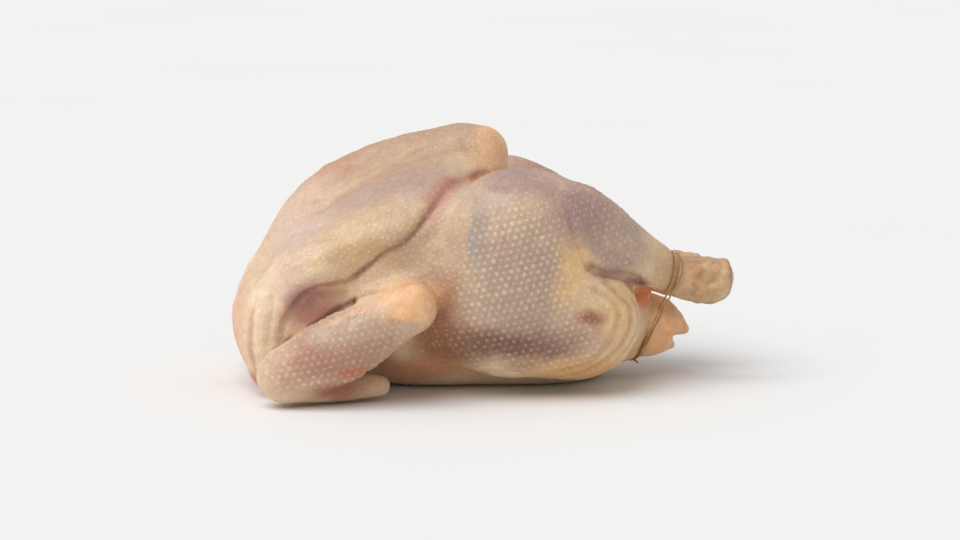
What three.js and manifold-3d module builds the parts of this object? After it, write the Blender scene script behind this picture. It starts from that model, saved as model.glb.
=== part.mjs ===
// A whole raw chicken, plucked, drawn and trussed for the oven. It lies on its back, breast up, with the
// neck end towards -X and the legs and tail towards +X. The wings are folded against the shoulders and an
// elastic tie binds the two cut leg ends to the tail. Millimetres, +Z up, origin at the middle of the base.
//
// The flesh is described as one distance field: every muscle, bone and roll of skin is an ellipsoid or a
// limb of changing girth, and neighbours are blended over a stated width. The field is meshed on a fine
// grid, and the mesh is then thinned where it is flat, so that small forms keep their facets.

import * as THREE from 'three';
import { mergeVertices } from 'three/addons/utils/BufferGeometryUtils.js';
import Module from 'manifold-3d';

// ---- Driving dimensions ----------------------------------------------------------------------------

// Landmarks of the skeleton. Where the second value isn't 0 it is the distance out from the middle plane.
const KEEL_FRONT = [-108, 0, 50];
const KEEL_BROW = [-70, 0, 113];
const KEEL_CREST = [-15, 0, 131];
const KEEL_TIP = [2, 0, 128];
const SHOULDER = [-96, 42, 36];
const ELBOW = [-44.5, 77, 52.5];
const WRIST = [-112, 71, 17];
const WING_TIP = [-60, 58, 7.5];
const KNEE = [12, 52, 95];
const CALF = [44, 46, 91];
const ANKLE = [92, 28, 64.5];
const HOCK = [121.5, 20, 55.6];
const TAIL_ROOT = [80, 7, 30];
const TAIL_TIP = [113.5, 2.5, 25];

// Radii of the limbs at those landmarks.
const KEEL_GIRTH = 9.5;
const SHOULDER_GIRTH = 18;
const ELBOW_GIRTH = 13.5;
const WRIST_GIRTH = 12.5;
const KNEE_GIRTH = 25;
const CALF_GIRTH = 23;
const ANKLE_GIRTH = 12;
const HOCK_GIRTH = 12.7;

const HOCK_CUT = 135.5; // where the shanks were cut off, along X
const BASE_ROUNDING = 5; // of the edge round the flattened back
const BASE_SAG = 0.6; // how far the flesh would sink below the board, where it is pressed flat
const FAR_LEG_SHIFT = [-8, 1, -3]; // the leg on the +Y side is tied a little further forward and lower

const TIE_RADIUS = 0.8; // of the elastic tie
const TIE_CLEARANCE = 0.6; // between the tie and the skin
const TIE_TURNS = [
  // Where each turn of the tie crosses the near shank, the far shank and the underside of the tail.
  [[99.7, -25, 60], [91.7, 26, 57], [86.5, 0, 14]],
  [[104, -24, 60], [96, 25, 57], [88.1, 0, 14]],
];
const TIE_RAYS = 120; // that feel for the skin round each turn
const TIE_SEGMENTS = 70; // along each turn
const TIE_SIDES = 6;
const TIE_KNOT = [2.8, 2.4, 1.8]; // radii of the knot under the tail

const GRID_STEP = 2.6; // of the sampling grid
const CHICKEN_TRIANGLES = 11400; // left after thinning

// ---- Distance fields: each shape is a function (x, y, z) => millimetres to its surface ---------------

const clamp = (value, low, high) => Math.min(Math.max(value, low), high);
const smoothstep = (low, high, value) => {
  const t = clamp((value - low) / (high - low), 0, 1);
  return t * t * (3 - 2 * t);
};

// The nearer of two distances, rounded over a blend width where they are alike.
function blend(a, b, width) {
  const h = Math.max(width - Math.abs(a - b), 0) / width;
  return Math.min(a, b) - h * h * width * 0.25;
}
const carve = (a, b, width) => -blend(-a, b, width);

// An ellipsoid of three radii, tilted by rotations in degrees about X, Y and Z.
function ellipsoid(centre, radii, tilt = [0, 0, 0]) {
  const turn = new THREE.Euler(...tilt.map(THREE.MathUtils.degToRad), 'ZYX');
  const back = new THREE.Matrix4().makeRotationFromEuler(turn).transpose();
  const p = new THREE.Vector3();
  const [rx, ry, rz] = radii;
  return (x, y, z) => {
    p.set(x - centre[0], y - centre[1], z - centre[2]).applyMatrix4(back);
    const scaled = Math.hypot(p.x / rx, p.y / ry, p.z / rz);
    const slope = Math.hypot(p.x / (rx * rx), p.y / (ry * ry), p.z / (rz * rz));
    return (scaled * (scaled - 1)) / Math.max(slope, 1e-6);
  };
}

// A limb: spheres whose centre and radius follow a smooth curve through [point, radius] stations.
function limb(stations, stepsPerSpan = 3) {
  const points = stations.map(([p]) => new THREE.Vector3(...p));
  const centres = new THREE.CatmullRomCurve3(points, false, 'catmullrom');
  const girths = new THREE.SplineCurve(stations.map(([, r], i) => new THREE.Vector2(i, r)));
  const steps = (stations.length - 1) * stepsPerSpan;
  const rings = [];
  for (let i = 0; i <= steps; i++) {
    const t = i / steps;
    rings.push({ at: centres.getPoint(t), r: girths.getPoint(t).y });
  }
  const cones = rings.slice(1).map((ring, i) => roundCone(rings[i], ring));
  return (x, y, z) => {
    let nearest = Infinity;
    for (const cone of cones) nearest = Math.min(nearest, cone(x, y, z));
    return nearest;
  };
}

// The spheres along one straight piece of a limb, from radius a.r to radius b.r.
function roundCone(a, b) {
  const axis = b.at.clone().sub(a.at);
  const long = axis.length();
  axis.divideScalar(long);
  const slant = (a.r - b.r) / long;
  const lean = slant / Math.sqrt(1 - slant * slant);
  return (x, y, z) => {
    const px = x - a.at.x;
    const py = y - a.at.y;
    const pz = z - a.at.z;
    const along = px * axis.x + py * axis.y + pz * axis.z;
    const out = Math.sqrt(Math.max(px * px + py * py + pz * pz - along * along, 0));
    const t = clamp(along - out * lean, 0, long);
    return Math.hypot(out, along - t) - (a.r - slant * t);
  };
}

const mirrored = ([x, y, z], side) => [x, y * side, z];
const bothSides = (make) => [make(-1), make(1)];

// ---- The bird, part by part -------------------------------------------------------------------------

const ribcage = ellipsoid([-20, 0, 47], [92, 55, 53]);
const pelvis = ellipsoid([38, 0, 40], [54, 46, 46]);
const belly = ellipsoid([22, 0, 76], [46, 34, 34], [0, 20, 0]);
const neckEnd = ellipsoid([-98, 0, 31], [40, 47, 38]);

const keel = limb([
  [KEEL_FRONT, 22],
  [[-100, 0, 77], 16.5],
  [[-86, 0, 98], 13.5],
  [KEEL_BROW, 12],
  [[-44, 0, 123.5], 11],
  [KEEL_CREST, KEEL_GIRTH],
  [KEEL_TIP, KEEL_GIRTH + 0.5],
]);

const pectorals = bothSides((side) =>
  limb([
    [mirrored([-84, 26, 60], side), 31],
    [mirrored([-52, 29, 82], side), 33],
    [mirrored([-20, 21, 101], side), 26],
    [mirrored([-4, 11, 112.5], side), 16.5],
  ]),
);

// The roll of fatty skin along the breast's lower edge, which turns down beside the neck.
const breastRolls = bothSides((side) =>
  limb([
    [mirrored([-26, 46, 101], side), 9],
    [mirrored([-58, 54, 87], side), 13],
    [mirrored([-88, 55, 74], side), 15],
    [mirrored([-108, 46, 56], side), 16],
    [mirrored([-116, 39, 36], side), 18],
    [mirrored([-113, 37, 18], side), 17],
  ]),
);

const flanks = bothSides((side) => ellipsoid([-32, 45 * side, 62], [44, 22, 40], [0, -20, 0]));

const thighs = bothSides((side) => ellipsoid([15, 52 * side, 62], [51, 32, 52], [0, 10, 0]));
const thighBacks = bothSides((side) => ellipsoid([49.5, 44 * side, 38.5], [32, 32, 31]));

const drumsticks = bothSides((side) => {
  const muscle = limb([
    [mirrored(KNEE, side), KNEE_GIRTH],
    [mirrored(CALF, side), CALF_GIRTH],
    [mirrored([71, 37, 76.5], side), 17.2],
    [mirrored(ANKLE, side), ANKLE_GIRTH],
    [mirrored([103, 24, 59.5], side), ANKLE_GIRTH - 0.4],
    [mirrored([112, 21.5, 57], side), HOCK_GIRTH - 0.6],
    [mirrored(HOCK, side), HOCK_GIRTH],
    [mirrored([130, 20, 56.5], side), 11],
    [mirrored([138, 20, 57.5], side), 7.5],
  ]);
  return (x, y, z) => carve(muscle(x, y, z), HOCK_CUT - x, 4);
});

const upperArms = bothSides((side) =>
  limb([
    [mirrored(SHOULDER, side), SHOULDER_GIRTH],
    [mirrored([-72, 58, 46], side), 14],
    [mirrored([-48, 70, 52], side), 12],
  ]),
);

const forearms = bothSides((side) => {
  const skin = ellipsoid([-84, 75 * side, 30], [42, 12, 18], [0, -27, 6 * side]);
  const bone = limb([
    [mirrored(ELBOW, side), ELBOW_GIRTH],
    [mirrored([-80, 77, 36], side), 11],
    [mirrored(WRIST, side), WRIST_GIRTH],
  ]);
  const hand = limb([
    [mirrored([-110, 68, 11], side), 9.5],
    [mirrored([-84, 63, 7.5], side), 8],
    [mirrored(WING_TIP, side), 5.5],
  ]);
  return (x, y, z) => blend(blend(skin(x, y, z), bone(x, y, z), 8), hand(x, y, z), 4);
});

// The hollow of bare skin between the breast roll and the folded wing.
const wingPits = bothSides((side) => ellipsoid([-94, 70 * side, 48], [20, 14, 13], [0, -25, 0]));

// The tail is cleft down the middle, and notched below where the oil gland was cut out.
const tailHalves = bothSides((side) => {
  const upper = limb([
    [mirrored(TAIL_ROOT, side), 17],
    [mirrored([100, 5, 32], side), 10.5],
    [mirrored(TAIL_TIP, side), 2.5],
  ]);
  const lower = limb([
    [mirrored([82, 6, 24], side), 13],
    [mirrored([94, 5, 20.5], side), 9],
    [mirrored([106, 1.5, 16.5], side), 2],
  ]);
  return (x, y, z) => blend(upper(x, y, z), lower(x, y, z), 4);
});

const vent = ellipsoid([86, 0, 58], [30, 17, 12]);
const neckOpening = ellipsoid([-139, 0, 13], [20, 15, 24]);

function bird(x, y, z) {
  let d = blend(ribcage(x, y, z), pelvis(x, y, z), 22);
  d = blend(d, belly(x, y, z), 16);
  d = blend(d, neckEnd(x, y, z), 16);
  const tail = blend(tailHalves[0](x, y, z), tailHalves[1](x, y, z), 5);
  d = blend(d, tail, 8);

  // The drumstick merges with the thigh at the knee and lies on it as a separate roll further back.
  const drumstickBlend = 20 - 14 * smoothstep(30, 60, x);
  for (const side of [0, 1]) {
    const [dx, dy, dz] = side ? FAR_LEG_SHIFT : [0, 0, 0];
    d = blend(d, flanks[side](x, y, z), 16);
    d = blend(d, thighs[side](x - dx, y - dy, z - dz), 14);
    d = blend(d, thighBacks[side](x - dx, y - dy, z - dz), 14);
    d = blend(d, drumsticks[side](x - dx, y - dy, z - dz), drumstickBlend);
    d = blend(d, upperArms[side](x, y, z), 12);
  }

  let breast = blend(pectorals[0](x, y, z), pectorals[1](x, y, z), 16);
  breast = blend(breast, blend(breastRolls[0](x, y, z), breastRolls[1](x, y, z), 14), 14);
  breast = blend(breast, keel(x, y, z), 16);
  d = blend(d, breast, 6);

  for (const side of [0, 1]) {
    d = carve(d, wingPits[side](x, y, z), 8);
    d = blend(d, forearms[side](x, y, z), 5);
  }
  d = carve(d, vent(x, y, z), 6);
  d = carve(d, neckOpening(x, y, z), 5);
  return carve(d, z + BASE_SAG, BASE_ROUNDING);
}

// ---- Meshing ----------------------------------------------------------------------------------------

// Fills a grid node wherever two sheets of the surface would touch: in squares whose corners alternate
// between inside and outside, and in cubes where only two opposite corners differ from the rest.
function separateSheets(value, stride) {
  const inside = (n) => value[n] < 0;
  const fill = (nodes) => {
    const nearest = nodes.filter((n) => !inside(n)).sort((a, b) => value[a] - value[b])[0];
    value[nearest] = -1e-3;
    return true;
  };
  let changed = true;
  while (changed) {
    changed = false;
    for (let n = 0; n < value.length - stride[0] - stride[1] - stride[2]; n++) {
      for (let axis = 0; axis < 3; axis++) {
        const u = stride[axis];
        const v = stride[(axis + 1) % 3];
        const square = [n, n + u, n + u + v, n + v];
        const alternate = square.every((m, e) => inside(m) !== inside(square[(e + 1) % 4]));
        if (alternate) changed = fill(square);
      }
      const corner = (c) => n + (c & 1) * stride[0] + ((c >> 1) & 1) * stride[1] + (c >> 2) * stride[2];
      const cube = [0, 1, 2, 3, 4, 5, 6, 7].map(corner);
      for (let c = 0; c < 4; c++) {
        const pair = inside(cube[c]) === inside(cube[7 - c]);
        const alone = cube.every((m, e) => e === c || e === 7 - c || inside(m) !== inside(cube[c]));
        if (pair && alone) changed = fill(cube);
      }
    }
  }
}

// Surface nets: one vertex in each grid cell that the surface crosses, one quad across each grid edge.
function meshField(field, low, high, step) {
  const count = low.map((v, k) => Math.ceil((high[k] - v) / step) + 1);
  const stride = [1, count[0], count[0] * count[1]];
  const value = new Float32Array(count[0] * count[1] * count[2]);
  const place = (i, k) => low[k] + i * step;
  for (let k = 0, n = 0; k < count[2]; k++)
    for (let j = 0; j < count[1]; j++)
      for (let i = 0; i < count[0]; i++, n++) value[n] = field(place(i, 0), place(j, 1), place(k, 2));
  separateSheets(value, stride);

  const positions = [];
  const cellVertex = new Int32Array(value.length).fill(-1);
  for (let k = 0; k < count[2] - 1; k++)
    for (let j = 0; j < count[1] - 1; j++)
      for (let i = 0; i < count[0] - 1; i++) {
        const n = i + j * stride[1] + k * stride[2];
        const sum = [0, 0, 0];
        let crossings = 0;
        for (let axis = 0; axis < 3; axis++)
          for (let corner = 0; corner < 4; corner++) {
            const u = (axis + 1) % 3;
            const v = (axis + 2) % 3;
            const offset = [0, 0, 0];
            offset[u] = corner & 1;
            offset[v] = corner >> 1;
            const a = n + offset[0] + offset[1] * stride[1] + offset[2] * stride[2];
            const b = a + stride[axis];
            if (value[a] < 0 === value[b] < 0) continue;
            offset[axis] = value[a] / (value[a] - value[b]);
            for (let m = 0; m < 3; m++) sum[m] += offset[m];
            crossings++;
          }
        if (!crossings) continue;
        cellVertex[n] = positions.length / 3;
        positions.push(...sum.map((s, m) => place([i, j, k][m] + s / crossings, m)));
      }

  const triangles = [];
  for (let k = 1; k < count[2] - 1; k++)
    for (let j = 1; j < count[1] - 1; j++)
      for (let i = 1; i < count[0] - 1; i++) {
        const n = i + j * stride[1] + k * stride[2];
        for (let axis = 0; axis < 3; axis++) {
          const inside = value[n] < 0;
          if (inside === value[n + stride[axis]] < 0) continue;
          const u = stride[(axis + 1) % 3];
          const v = stride[(axis + 2) % 3];
          const quad = [n, n - u, n - u - v, n - v].map((cell) => cellVertex[cell]);
          if (!inside) quad.reverse();
          triangles.push(quad[0], quad[1], quad[2], quad[0], quad[2], quad[3]);
        }
      }
  return { positions, triangles };
}

// Moves each vertex along the field's slope until it lies on the surface.
function settle(positions, field, passes = 3) {
  const h = 0.05;
  for (let i = 0; i < positions.length; i += 3)
    for (let pass = 0; pass < passes; pass++) {
      const [x, y, z] = positions.slice(i, i + 3);
      const d = field(x, y, z);
      const slope = [
        (field(x + h, y, z) - field(x - h, y, z)) / (2 * h),
        (field(x, y + h, z) - field(x, y - h, z)) / (2 * h),
        (field(x, y, z + h) - field(x, y, z - h)) / (2 * h),
      ];
      const steepness = Math.max(slope[0] ** 2 + slope[1] ** 2 + slope[2] ** 2, 0.1);
      for (let m = 0; m < 3; m++) positions[i + m] -= (0.8 * d * slope[m]) / steepness;
    }
}

// Thins a closed mesh by collapsing the edges whose loss moves the surface least. Each vertex carries the
// sum of the squared-distance forms of the planes that met there.
function thin({ positions, triangles }, wanted) {
  const point = (v) => new THREE.Vector3().fromArray(positions, v * 3);
  const faces = [];
  for (let i = 0; i < triangles.length; i += 3) faces.push(triangles.slice(i, i + 3));
  const facesOf = Array.from({ length: positions.length / 3 }, () => new Set());
  faces.forEach((face, f) => face.forEach((v) => facesOf[v].add(f)));

  const normalOf = (a, b, c) => b.clone().sub(a).cross(c.clone().sub(a));
  const form = Array.from(facesOf, () => new Float64Array(10));
  for (const face of faces) {
    const [a, b, c] = face.map(point);
    const normal = normalOf(a, b, c);
    const weight = normal.length();
    normal.normalize();
    const plane = [normal.x, normal.y, normal.z, -normal.dot(a)];
    const squares = [];
    for (let r = 0; r < 4; r++)
      for (let s = r; s < 4; s++) squares.push(weight * plane[r] * plane[s]);
    for (const v of face) squares.forEach((square, n) => (form[v][n] += square));
  }
  const errorAt = (q, { x, y, z }) =>
    q[0] * x * x + 2 * q[1] * x * y + 2 * q[2] * x * z + 2 * q[3] * x + q[4] * y * y + 2 * q[5] * y * z +
    2 * q[6] * y + q[7] * z * z + 2 * q[8] * z + q[9];

  // The point with the least error for an edge: the forms' own minimum, or else the middle or an end.
  const matrix = new THREE.Matrix3();
  function plan(u, v) {
    const q = form[u].map((value, n) => value + form[v][n]);
    const [a, b] = [point(u), point(v)];
    const middle = a.clone().lerp(b, 0.5);
    const choices = [a, b, middle];
    matrix.set(q[0], q[1], q[2], q[1], q[4], q[5], q[2], q[5], q[7]);
    const size = Math.abs(q[0] + q[4] + q[7]) / 3;
    if (Math.abs(matrix.determinant()) > 1e-3 * size ** 3) {
      const least = new THREE.Vector3(-q[3], -q[6], -q[8]).applyMatrix3(matrix.invert());
      if (least.distanceTo(middle) < 2 * a.distanceTo(b)) choices.unshift(least);
    }
    let best = choices[0];
    for (const choice of choices) if (errorAt(q, choice) < errorAt(q, best)) best = choice;
    return { u, v, q, at: best, cost: errorAt(q, best) + 1e-3 * a.distanceToSquared(b) };
  }

  const heap = [];
  const stamp = new Uint32Array(facesOf.length);
  function push(u, v) {
    const item = plan(u, v);
    item.stampU = stamp[u];
    item.stampV = stamp[v];
    let n = heap.push(item) - 1;
    while (n > 0 && heap[(n - 1) >> 1].cost > item.cost) {
      heap[n] = heap[(n - 1) >> 1];
      n = (n - 1) >> 1;
    }
    heap[n] = item;
  }
  function pop() {
    const top = heap[0];
    const last = heap.pop();
    if (!heap.length) return top;
    let n = 0;
    for (let c = 1; c < heap.length; c = 2 * n + 1) {
      if (c + 1 < heap.length && heap[c + 1].cost < heap[c].cost) c++;
      if (heap[c].cost >= last.cost) break;
      heap[n] = heap[c];
      n = c;
    }
    heap[n] = last;
    return top;
  }

  const neighbours = (v) => new Set([...facesOf[v]].flatMap((f) => faces[f]).filter((w) => w !== v));
  // A face that stays mustn't turn over when a corner moves.
  const turnsOver = (v, other, to) =>
    [...facesOf[v]].some((f) => {
      if (faces[f].includes(other)) return false;
      const before = faces[f].map(point);
      const after = faces[f].map((w) => (w === v ? to : point(w)));
      const [m, n] = [normalOf(...before), normalOf(...after)];
      return m.dot(n) < 0.3 * m.length() * n.length();
    });

  for (let v = 0; v < facesOf.length; v++) for (const w of neighbours(v)) if (v < w) push(v, w);
  let left = faces.length;
  while (left > wanted && heap.length) {
    const { u, v, q, at, stampU, stampV } = pop();
    if (stamp[u] !== stampU || stamp[v] !== stampV || !facesOf[u].size || !facesOf[v].size) continue;
    const [aroundU, aroundV] = [neighbours(u), neighbours(v)];
    if (!aroundU.has(v)) continue;
    const shared = [...aroundU].filter((w) => aroundV.has(w));
    if (shared.length !== 2 || turnsOver(u, v, at) || turnsOver(v, u, at)) continue;
    for (const f of [...facesOf[v]]) {
      if (faces[f].includes(u)) {
        for (const w of faces[f]) facesOf[w].delete(f);
        faces[f] = null;
        left--;
      } else {
        faces[f] = faces[f].map((w) => (w === v ? u : w));
        facesOf[u].add(f);
      }
    }
    facesOf[v].clear();
    form[u] = q;
    at.toArray(positions, u * 3);
    for (const w of neighbours(u)) stamp[w]++;
    stamp[u]++;
    for (const w of neighbours(u)) {
      push(u, w);
      for (const far of neighbours(w)) if (far !== u && (far > w || !aroundU.has(far))) push(w, far);
    }
  }
  return { positions, triangles: faces.filter(Boolean).flat() };
}

// ---- Solids -----------------------------------------------------------------------------------------

const wasm = await Module();
wasm.setup();

function solidFrom(geometry) {
  const bare = geometry.clone();
  bare.deleteAttribute('normal');
  bare.deleteAttribute('uv');
  const merged = mergeVertices(bare);
  const vertProperties = merged.getAttribute('position').array;
  return new wasm.Manifold(new wasm.Mesh({ numProp: 3, vertProperties, triVerts: merged.index.array }));
}

function geometryFrom(solid) {
  const { vertProperties, triVerts } = solid.getMesh();
  const geometry = new THREE.BufferGeometry();
  geometry.setAttribute('position', new THREE.BufferAttribute(vertProperties, 3));
  geometry.setIndex(new THREE.BufferAttribute(triVerts, 1));
  return geometry.toNonIndexed();
}

function makeChicken() {
  const low = [-146, -100, -6];
  const high = [146, 100, 150];
  const fine = meshField(bird, low, high, GRID_STEP);
  settle(fine.positions, bird);
  const { positions, triangles } = thin(fine, CHICKEN_TRIANGLES);
  for (let i = 2; i < positions.length; i += 3) positions[i] = Math.max(positions[i], 0);
  const geometry = new THREE.BufferGeometry();
  geometry.setAttribute('position', new THREE.Float32BufferAttribute(positions, 3));
  geometry.setIndex(triangles);
  return geometry.toNonIndexed();
}

// A taut turn of the tie through three points: in the plane of those points, the convex outline of what it
// goes round, a little clear of the skin. It starts and ends under the tail.
function tautTurn(points) {
  const [near, far, under] = points.map((p) => new THREE.Vector3(...p));
  const centre = near.clone().add(far).add(under).divideScalar(3);
  const across = far.clone().sub(near).normalize();
  const down = across.clone().cross(under.clone().sub(near)).cross(across).normalize();
  const at = (p) => centre.clone().addScaledVector(across, p.x).addScaledVector(down, p.y);

  const outline = [];
  for (let i = 0; i < TIE_RAYS; i++) {
    const angle = (2 * Math.PI * i) / TIE_RAYS;
    const ray = new THREE.Vector2(Math.sin(angle), Math.cos(angle));
    outline.push(ray.multiplyScalar(reachFrom(centre, at(ray).sub(centre))));
  }
  const rim = convex(outline);
  rim.push(rim[0]);
  const round = new THREE.CurvePath();
  for (let i = 1; i < rim.length; i++) round.add(new THREE.LineCurve3(at(rim[i - 1]), at(rim[i])));
  return new THREE.CatmullRomCurve3(round.getSpacedPoints(TIE_SEGMENTS));
}

// How far out from a centre the skin lies in one direction, with the tie's own half-thickness on top.
function reachFrom(centre, direction) {
  let reach = 60;
  for (let step = 1; step > 0.01 && reach > 0; reach -= step) {
    const p = centre.clone().addScaledVector(direction, reach);
    step = 0.8 * (bird(p.x, p.y, p.z) - TIE_RADIUS - TIE_CLEARANCE);
  }
  return reach;
}

// The corners of a loop of points that a band stretched round them would touch.
function convex(points) {
  const kept = [...points];
  const dips = (i) => {
    const [a, b, c] = [-1, 0, 1].map((k) => kept[(i + k + kept.length) % kept.length]);
    return b.clone().sub(a).cross(c.clone().sub(b)) >= 0;
  };
  for (let i = 0, since = 0; since < kept.length; since++, i++) {
    i %= kept.length;
    if (!dips(i)) continue;
    kept.splice(i, 1);
    i -= 2;
    if (i < -1) i += kept.length;
    since = -1;
  }
  return kept;
}

function makeTie() {
  const section = new THREE.Shape();
  for (let i = 0; i < TIE_SIDES; i++) {
    const angle = (2 * Math.PI * i) / TIE_SIDES;
    section[i ? 'lineTo' : 'moveTo'](TIE_RADIUS * Math.cos(angle), TIE_RADIUS * Math.sin(angle));
  }
  section.closePath();
  const turns = TIE_TURNS.map(tautTurn);
  const foot = turns[0].getPoint(0).lerp(turns[1].getPoint(0), 0.5);
  foot.z += TIE_RADIUS - TIE_KNOT[2];
  const knot = new THREE.SphereGeometry(1, 12, 8).scale(...TIE_KNOT).translate(...foot.toArray());
  const strands = turns.map((extrudePath) => {
    const options = { extrudePath, steps: TIE_SEGMENTS, bevelEnabled: false };
    return solidFrom(new THREE.ExtrudeGeometry(section, options));
  });
  return geometryFrom(strands.reduce((joined, strand) => joined.add(strand), solidFrom(knot)));
}

// ---- The object -------------------------------------------------------------------------------------

function mesh(name, geometry, material) {
  geometry.computeVertexNormals();
  const made = new THREE.Mesh(geometry, material);
  made.name = name;
  return made;
}

const skin = new THREE.MeshStandardMaterial({ color: 0xd8ae8c, roughness: 0.42, metalness: 0 });
const elastic = new THREE.MeshStandardMaterial({ color: 0xe2c79a, roughness: 0.5, metalness: 0 });

const chicken = new THREE.Group();
chicken.add(mesh('chicken', makeChicken(), skin));
chicken.add(mesh('leg_tie', makeTie(), elastic));

const middle = new THREE.Box3().setFromObject(chicken).getCenter(new THREE.Vector3());
chicken.position.set(-middle.x, -middle.y, 0);

export default chicken;
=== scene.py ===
"""A whole raw chicken, plucked and drawn, on its back with its cut legs tied to its tail."""

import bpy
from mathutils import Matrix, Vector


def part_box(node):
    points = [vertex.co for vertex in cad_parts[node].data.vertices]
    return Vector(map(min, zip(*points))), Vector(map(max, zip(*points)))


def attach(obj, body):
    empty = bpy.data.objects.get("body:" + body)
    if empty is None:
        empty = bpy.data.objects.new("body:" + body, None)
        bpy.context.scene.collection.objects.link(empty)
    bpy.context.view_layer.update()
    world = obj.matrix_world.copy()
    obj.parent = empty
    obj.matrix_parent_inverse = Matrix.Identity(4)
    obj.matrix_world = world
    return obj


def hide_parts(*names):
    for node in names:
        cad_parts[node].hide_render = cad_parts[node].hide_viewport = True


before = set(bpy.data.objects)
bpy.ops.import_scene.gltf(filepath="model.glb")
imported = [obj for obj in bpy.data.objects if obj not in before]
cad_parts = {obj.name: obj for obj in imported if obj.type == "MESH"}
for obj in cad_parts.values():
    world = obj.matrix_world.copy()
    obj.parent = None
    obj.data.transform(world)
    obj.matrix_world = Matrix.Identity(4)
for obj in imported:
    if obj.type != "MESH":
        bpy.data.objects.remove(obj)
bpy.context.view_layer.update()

import itertools
import math

import bpy
import numpy as np
from mathutils import Vector, noise
from mathutils.bvhtree import BVHTree
from mathutils.kdtree import KDTree


# ---- The flesh ---------------------------------------------------------------------------------------
# A plucked and drawn chicken on its back: rib cage, pelvis and belly, two breast muscles on a keel bone,
# thighs with drumsticks laid along them, and folded wings. Each is a distance in millimetres from points
# to a rounded solid, and neighbours are blended over a stated width.

def blend(a, b, width):
    """The nearer of two distances, rounded over a width where they are alike."""
    h = np.maximum(width - np.abs(a - b), 0) / width
    return np.minimum(a, b) - h * h * width * 0.25


def carve(a, b, width):
    return -blend(-a, b, width)


def smoothstep(low, high, value):
    t = np.clip((value - low) / (high - low), 0, 1)
    return t * t * (3 - 2 * t)


def turned(p, tilt):
    """Points seen in a frame tilted by degrees about X, Y and Z."""
    (cx, cy, cz), (sx, sy, sz) = np.cos(np.radians(tilt)), np.sin(np.radians(tilt))
    about_x = np.array([[1, 0, 0], [0, cx, -sx], [0, sx, cx]])
    about_y = np.array([[cy, 0, sy], [0, 1, 0], [-sy, 0, cy]])
    about_z = np.array([[cz, -sz, 0], [sz, cz, 0], [0, 0, 1]])
    return p @ (about_z @ about_y @ about_x).astype(np.float32)


def ellipsoid(p, centre, radii, tilt=(0, 0, 0)):
    q = turned(p - np.float32(centre), tilt) / np.float32(radii)
    scaled = np.linalg.norm(q, axis=-1)
    slope = np.linalg.norm(q / np.float32(radii), axis=-1)
    return scaled * (scaled - 1) / np.maximum(slope, 1e-6)


def stations(points, per_span=3):
    """Smooth in-between rows, Catmull-Rom, through rows of numbers."""
    rows = np.array(points, float)
    rows = np.vstack([2 * rows[0] - rows[1], rows, 2 * rows[-1] - rows[-2]])
    made = []
    for a, b, c, d in zip(rows, rows[1:], rows[2:], rows[3:]):
        for t in np.arange(per_span) / per_span:
            bend = (2 * a - 5 * b + 4 * c - d) * t**2 + (3 * b - a - 3 * c + d) * t**3
            made.append(0.5 * (2 * b + (c - a) * t + bend))
    return np.float32(made + [rows[-2]])


def limb(p, points):
    """Spheres whose centre and radius follow a smooth curve through rows of (x, y, z, radius)."""
    rings = stations(points)
    nearest = np.full(p.shape[:-1], np.inf, np.float32)
    for a, b in zip(rings, rings[1:]):
        along = b[:3] - a[:3]
        long = np.linalg.norm(along)
        slant = (a[3] - b[3]) / long
        q = p - a[:3]
        reach = q @ (along / long)
        out = np.sqrt(np.maximum((q * q).sum(-1) - reach * reach, 0))
        t = np.clip(reach - out * (slant / np.sqrt(1 - slant * slant)), 0, long)
        nearest = np.minimum(nearest, np.hypot(out, reach - t) - (a[3] - slant * t))
    return nearest


def trunk(p):
    d = blend(ellipsoid(p, (-20, 0, 47), (92, 55, 53)), ellipsoid(p, (38, 0, 40), (54, 46, 46)), 22)
    d = blend(d, ellipsoid(p, (22, 0, 76), (46, 34, 34), (0, 20, 0)), 16)
    return blend(d, ellipsoid(p, (-98, 0, 31), (40, 47, 38)), 16)


def keel(p):
    return limb(p, [(-108, 0, 50, 22), (-100, 0, 77, 16.5), (-86, 0, 98, 13.5), (-70, 0, 113, 12),
                    (-44, 0, 123.5, 11), (-15, 0, 131, 9.5), (2, 0, 128, 10)])


def pectoral(p):
    return limb(p, [(-84, 26, 60, 31), (-52, 29, 82, 33), (-20, 21, 101, 26), (-4, 11, 112.5, 16.5)])


def breast_roll(p):
    return limb(p, [(-26, 46, 101, 9), (-58, 54, 87, 13), (-88, 55, 74, 15), (-108, 46, 56, 16),
                    (-116, 39, 36, 18), (-113, 37, 18, 17)])


def thigh(p):
    return ellipsoid(p, (15, 52, 62), (51, 32, 52), (0, 10, 0))


HOCK_CUT = 135.5


def drumstick(p):
    muscle = limb(p, [(12, 52, 95, 25), (44, 46, 91, 23), (71, 37, 76.5, 17.2), (92, 28, 64.5, 12),
                      (103, 24, 59.5, 11.6), (112, 21.5, 57, 12.1), (121.5, 20, 55.6, 12.7),
                      (130, 20, 56.5, 11), (138, 20, 57.5, 7.5)])
    return carve(muscle, HOCK_CUT - p[..., 0], 4)


def upper_arm(p):
    return limb(p, [(-96, 42, 36, 18), (-72, 58, 46, 14), (-48, 70, 52, 12)])


def forearm(p):
    skin = ellipsoid(p, (-84, 75, 30), (42, 12, 18), (0, -27, 6))
    bone = limb(p, [(-44.5, 77, 52.5, 13.5), (-80, 77, 36, 11), (-112, 71, 17, 12.5)])
    hand = limb(p, [(-110, 68, 11, 9.5), (-84, 63, 7.5, 8), (-60, 58, 7.5, 5.5)])
    return blend(blend(skin, bone, 8), hand, 4)


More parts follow.
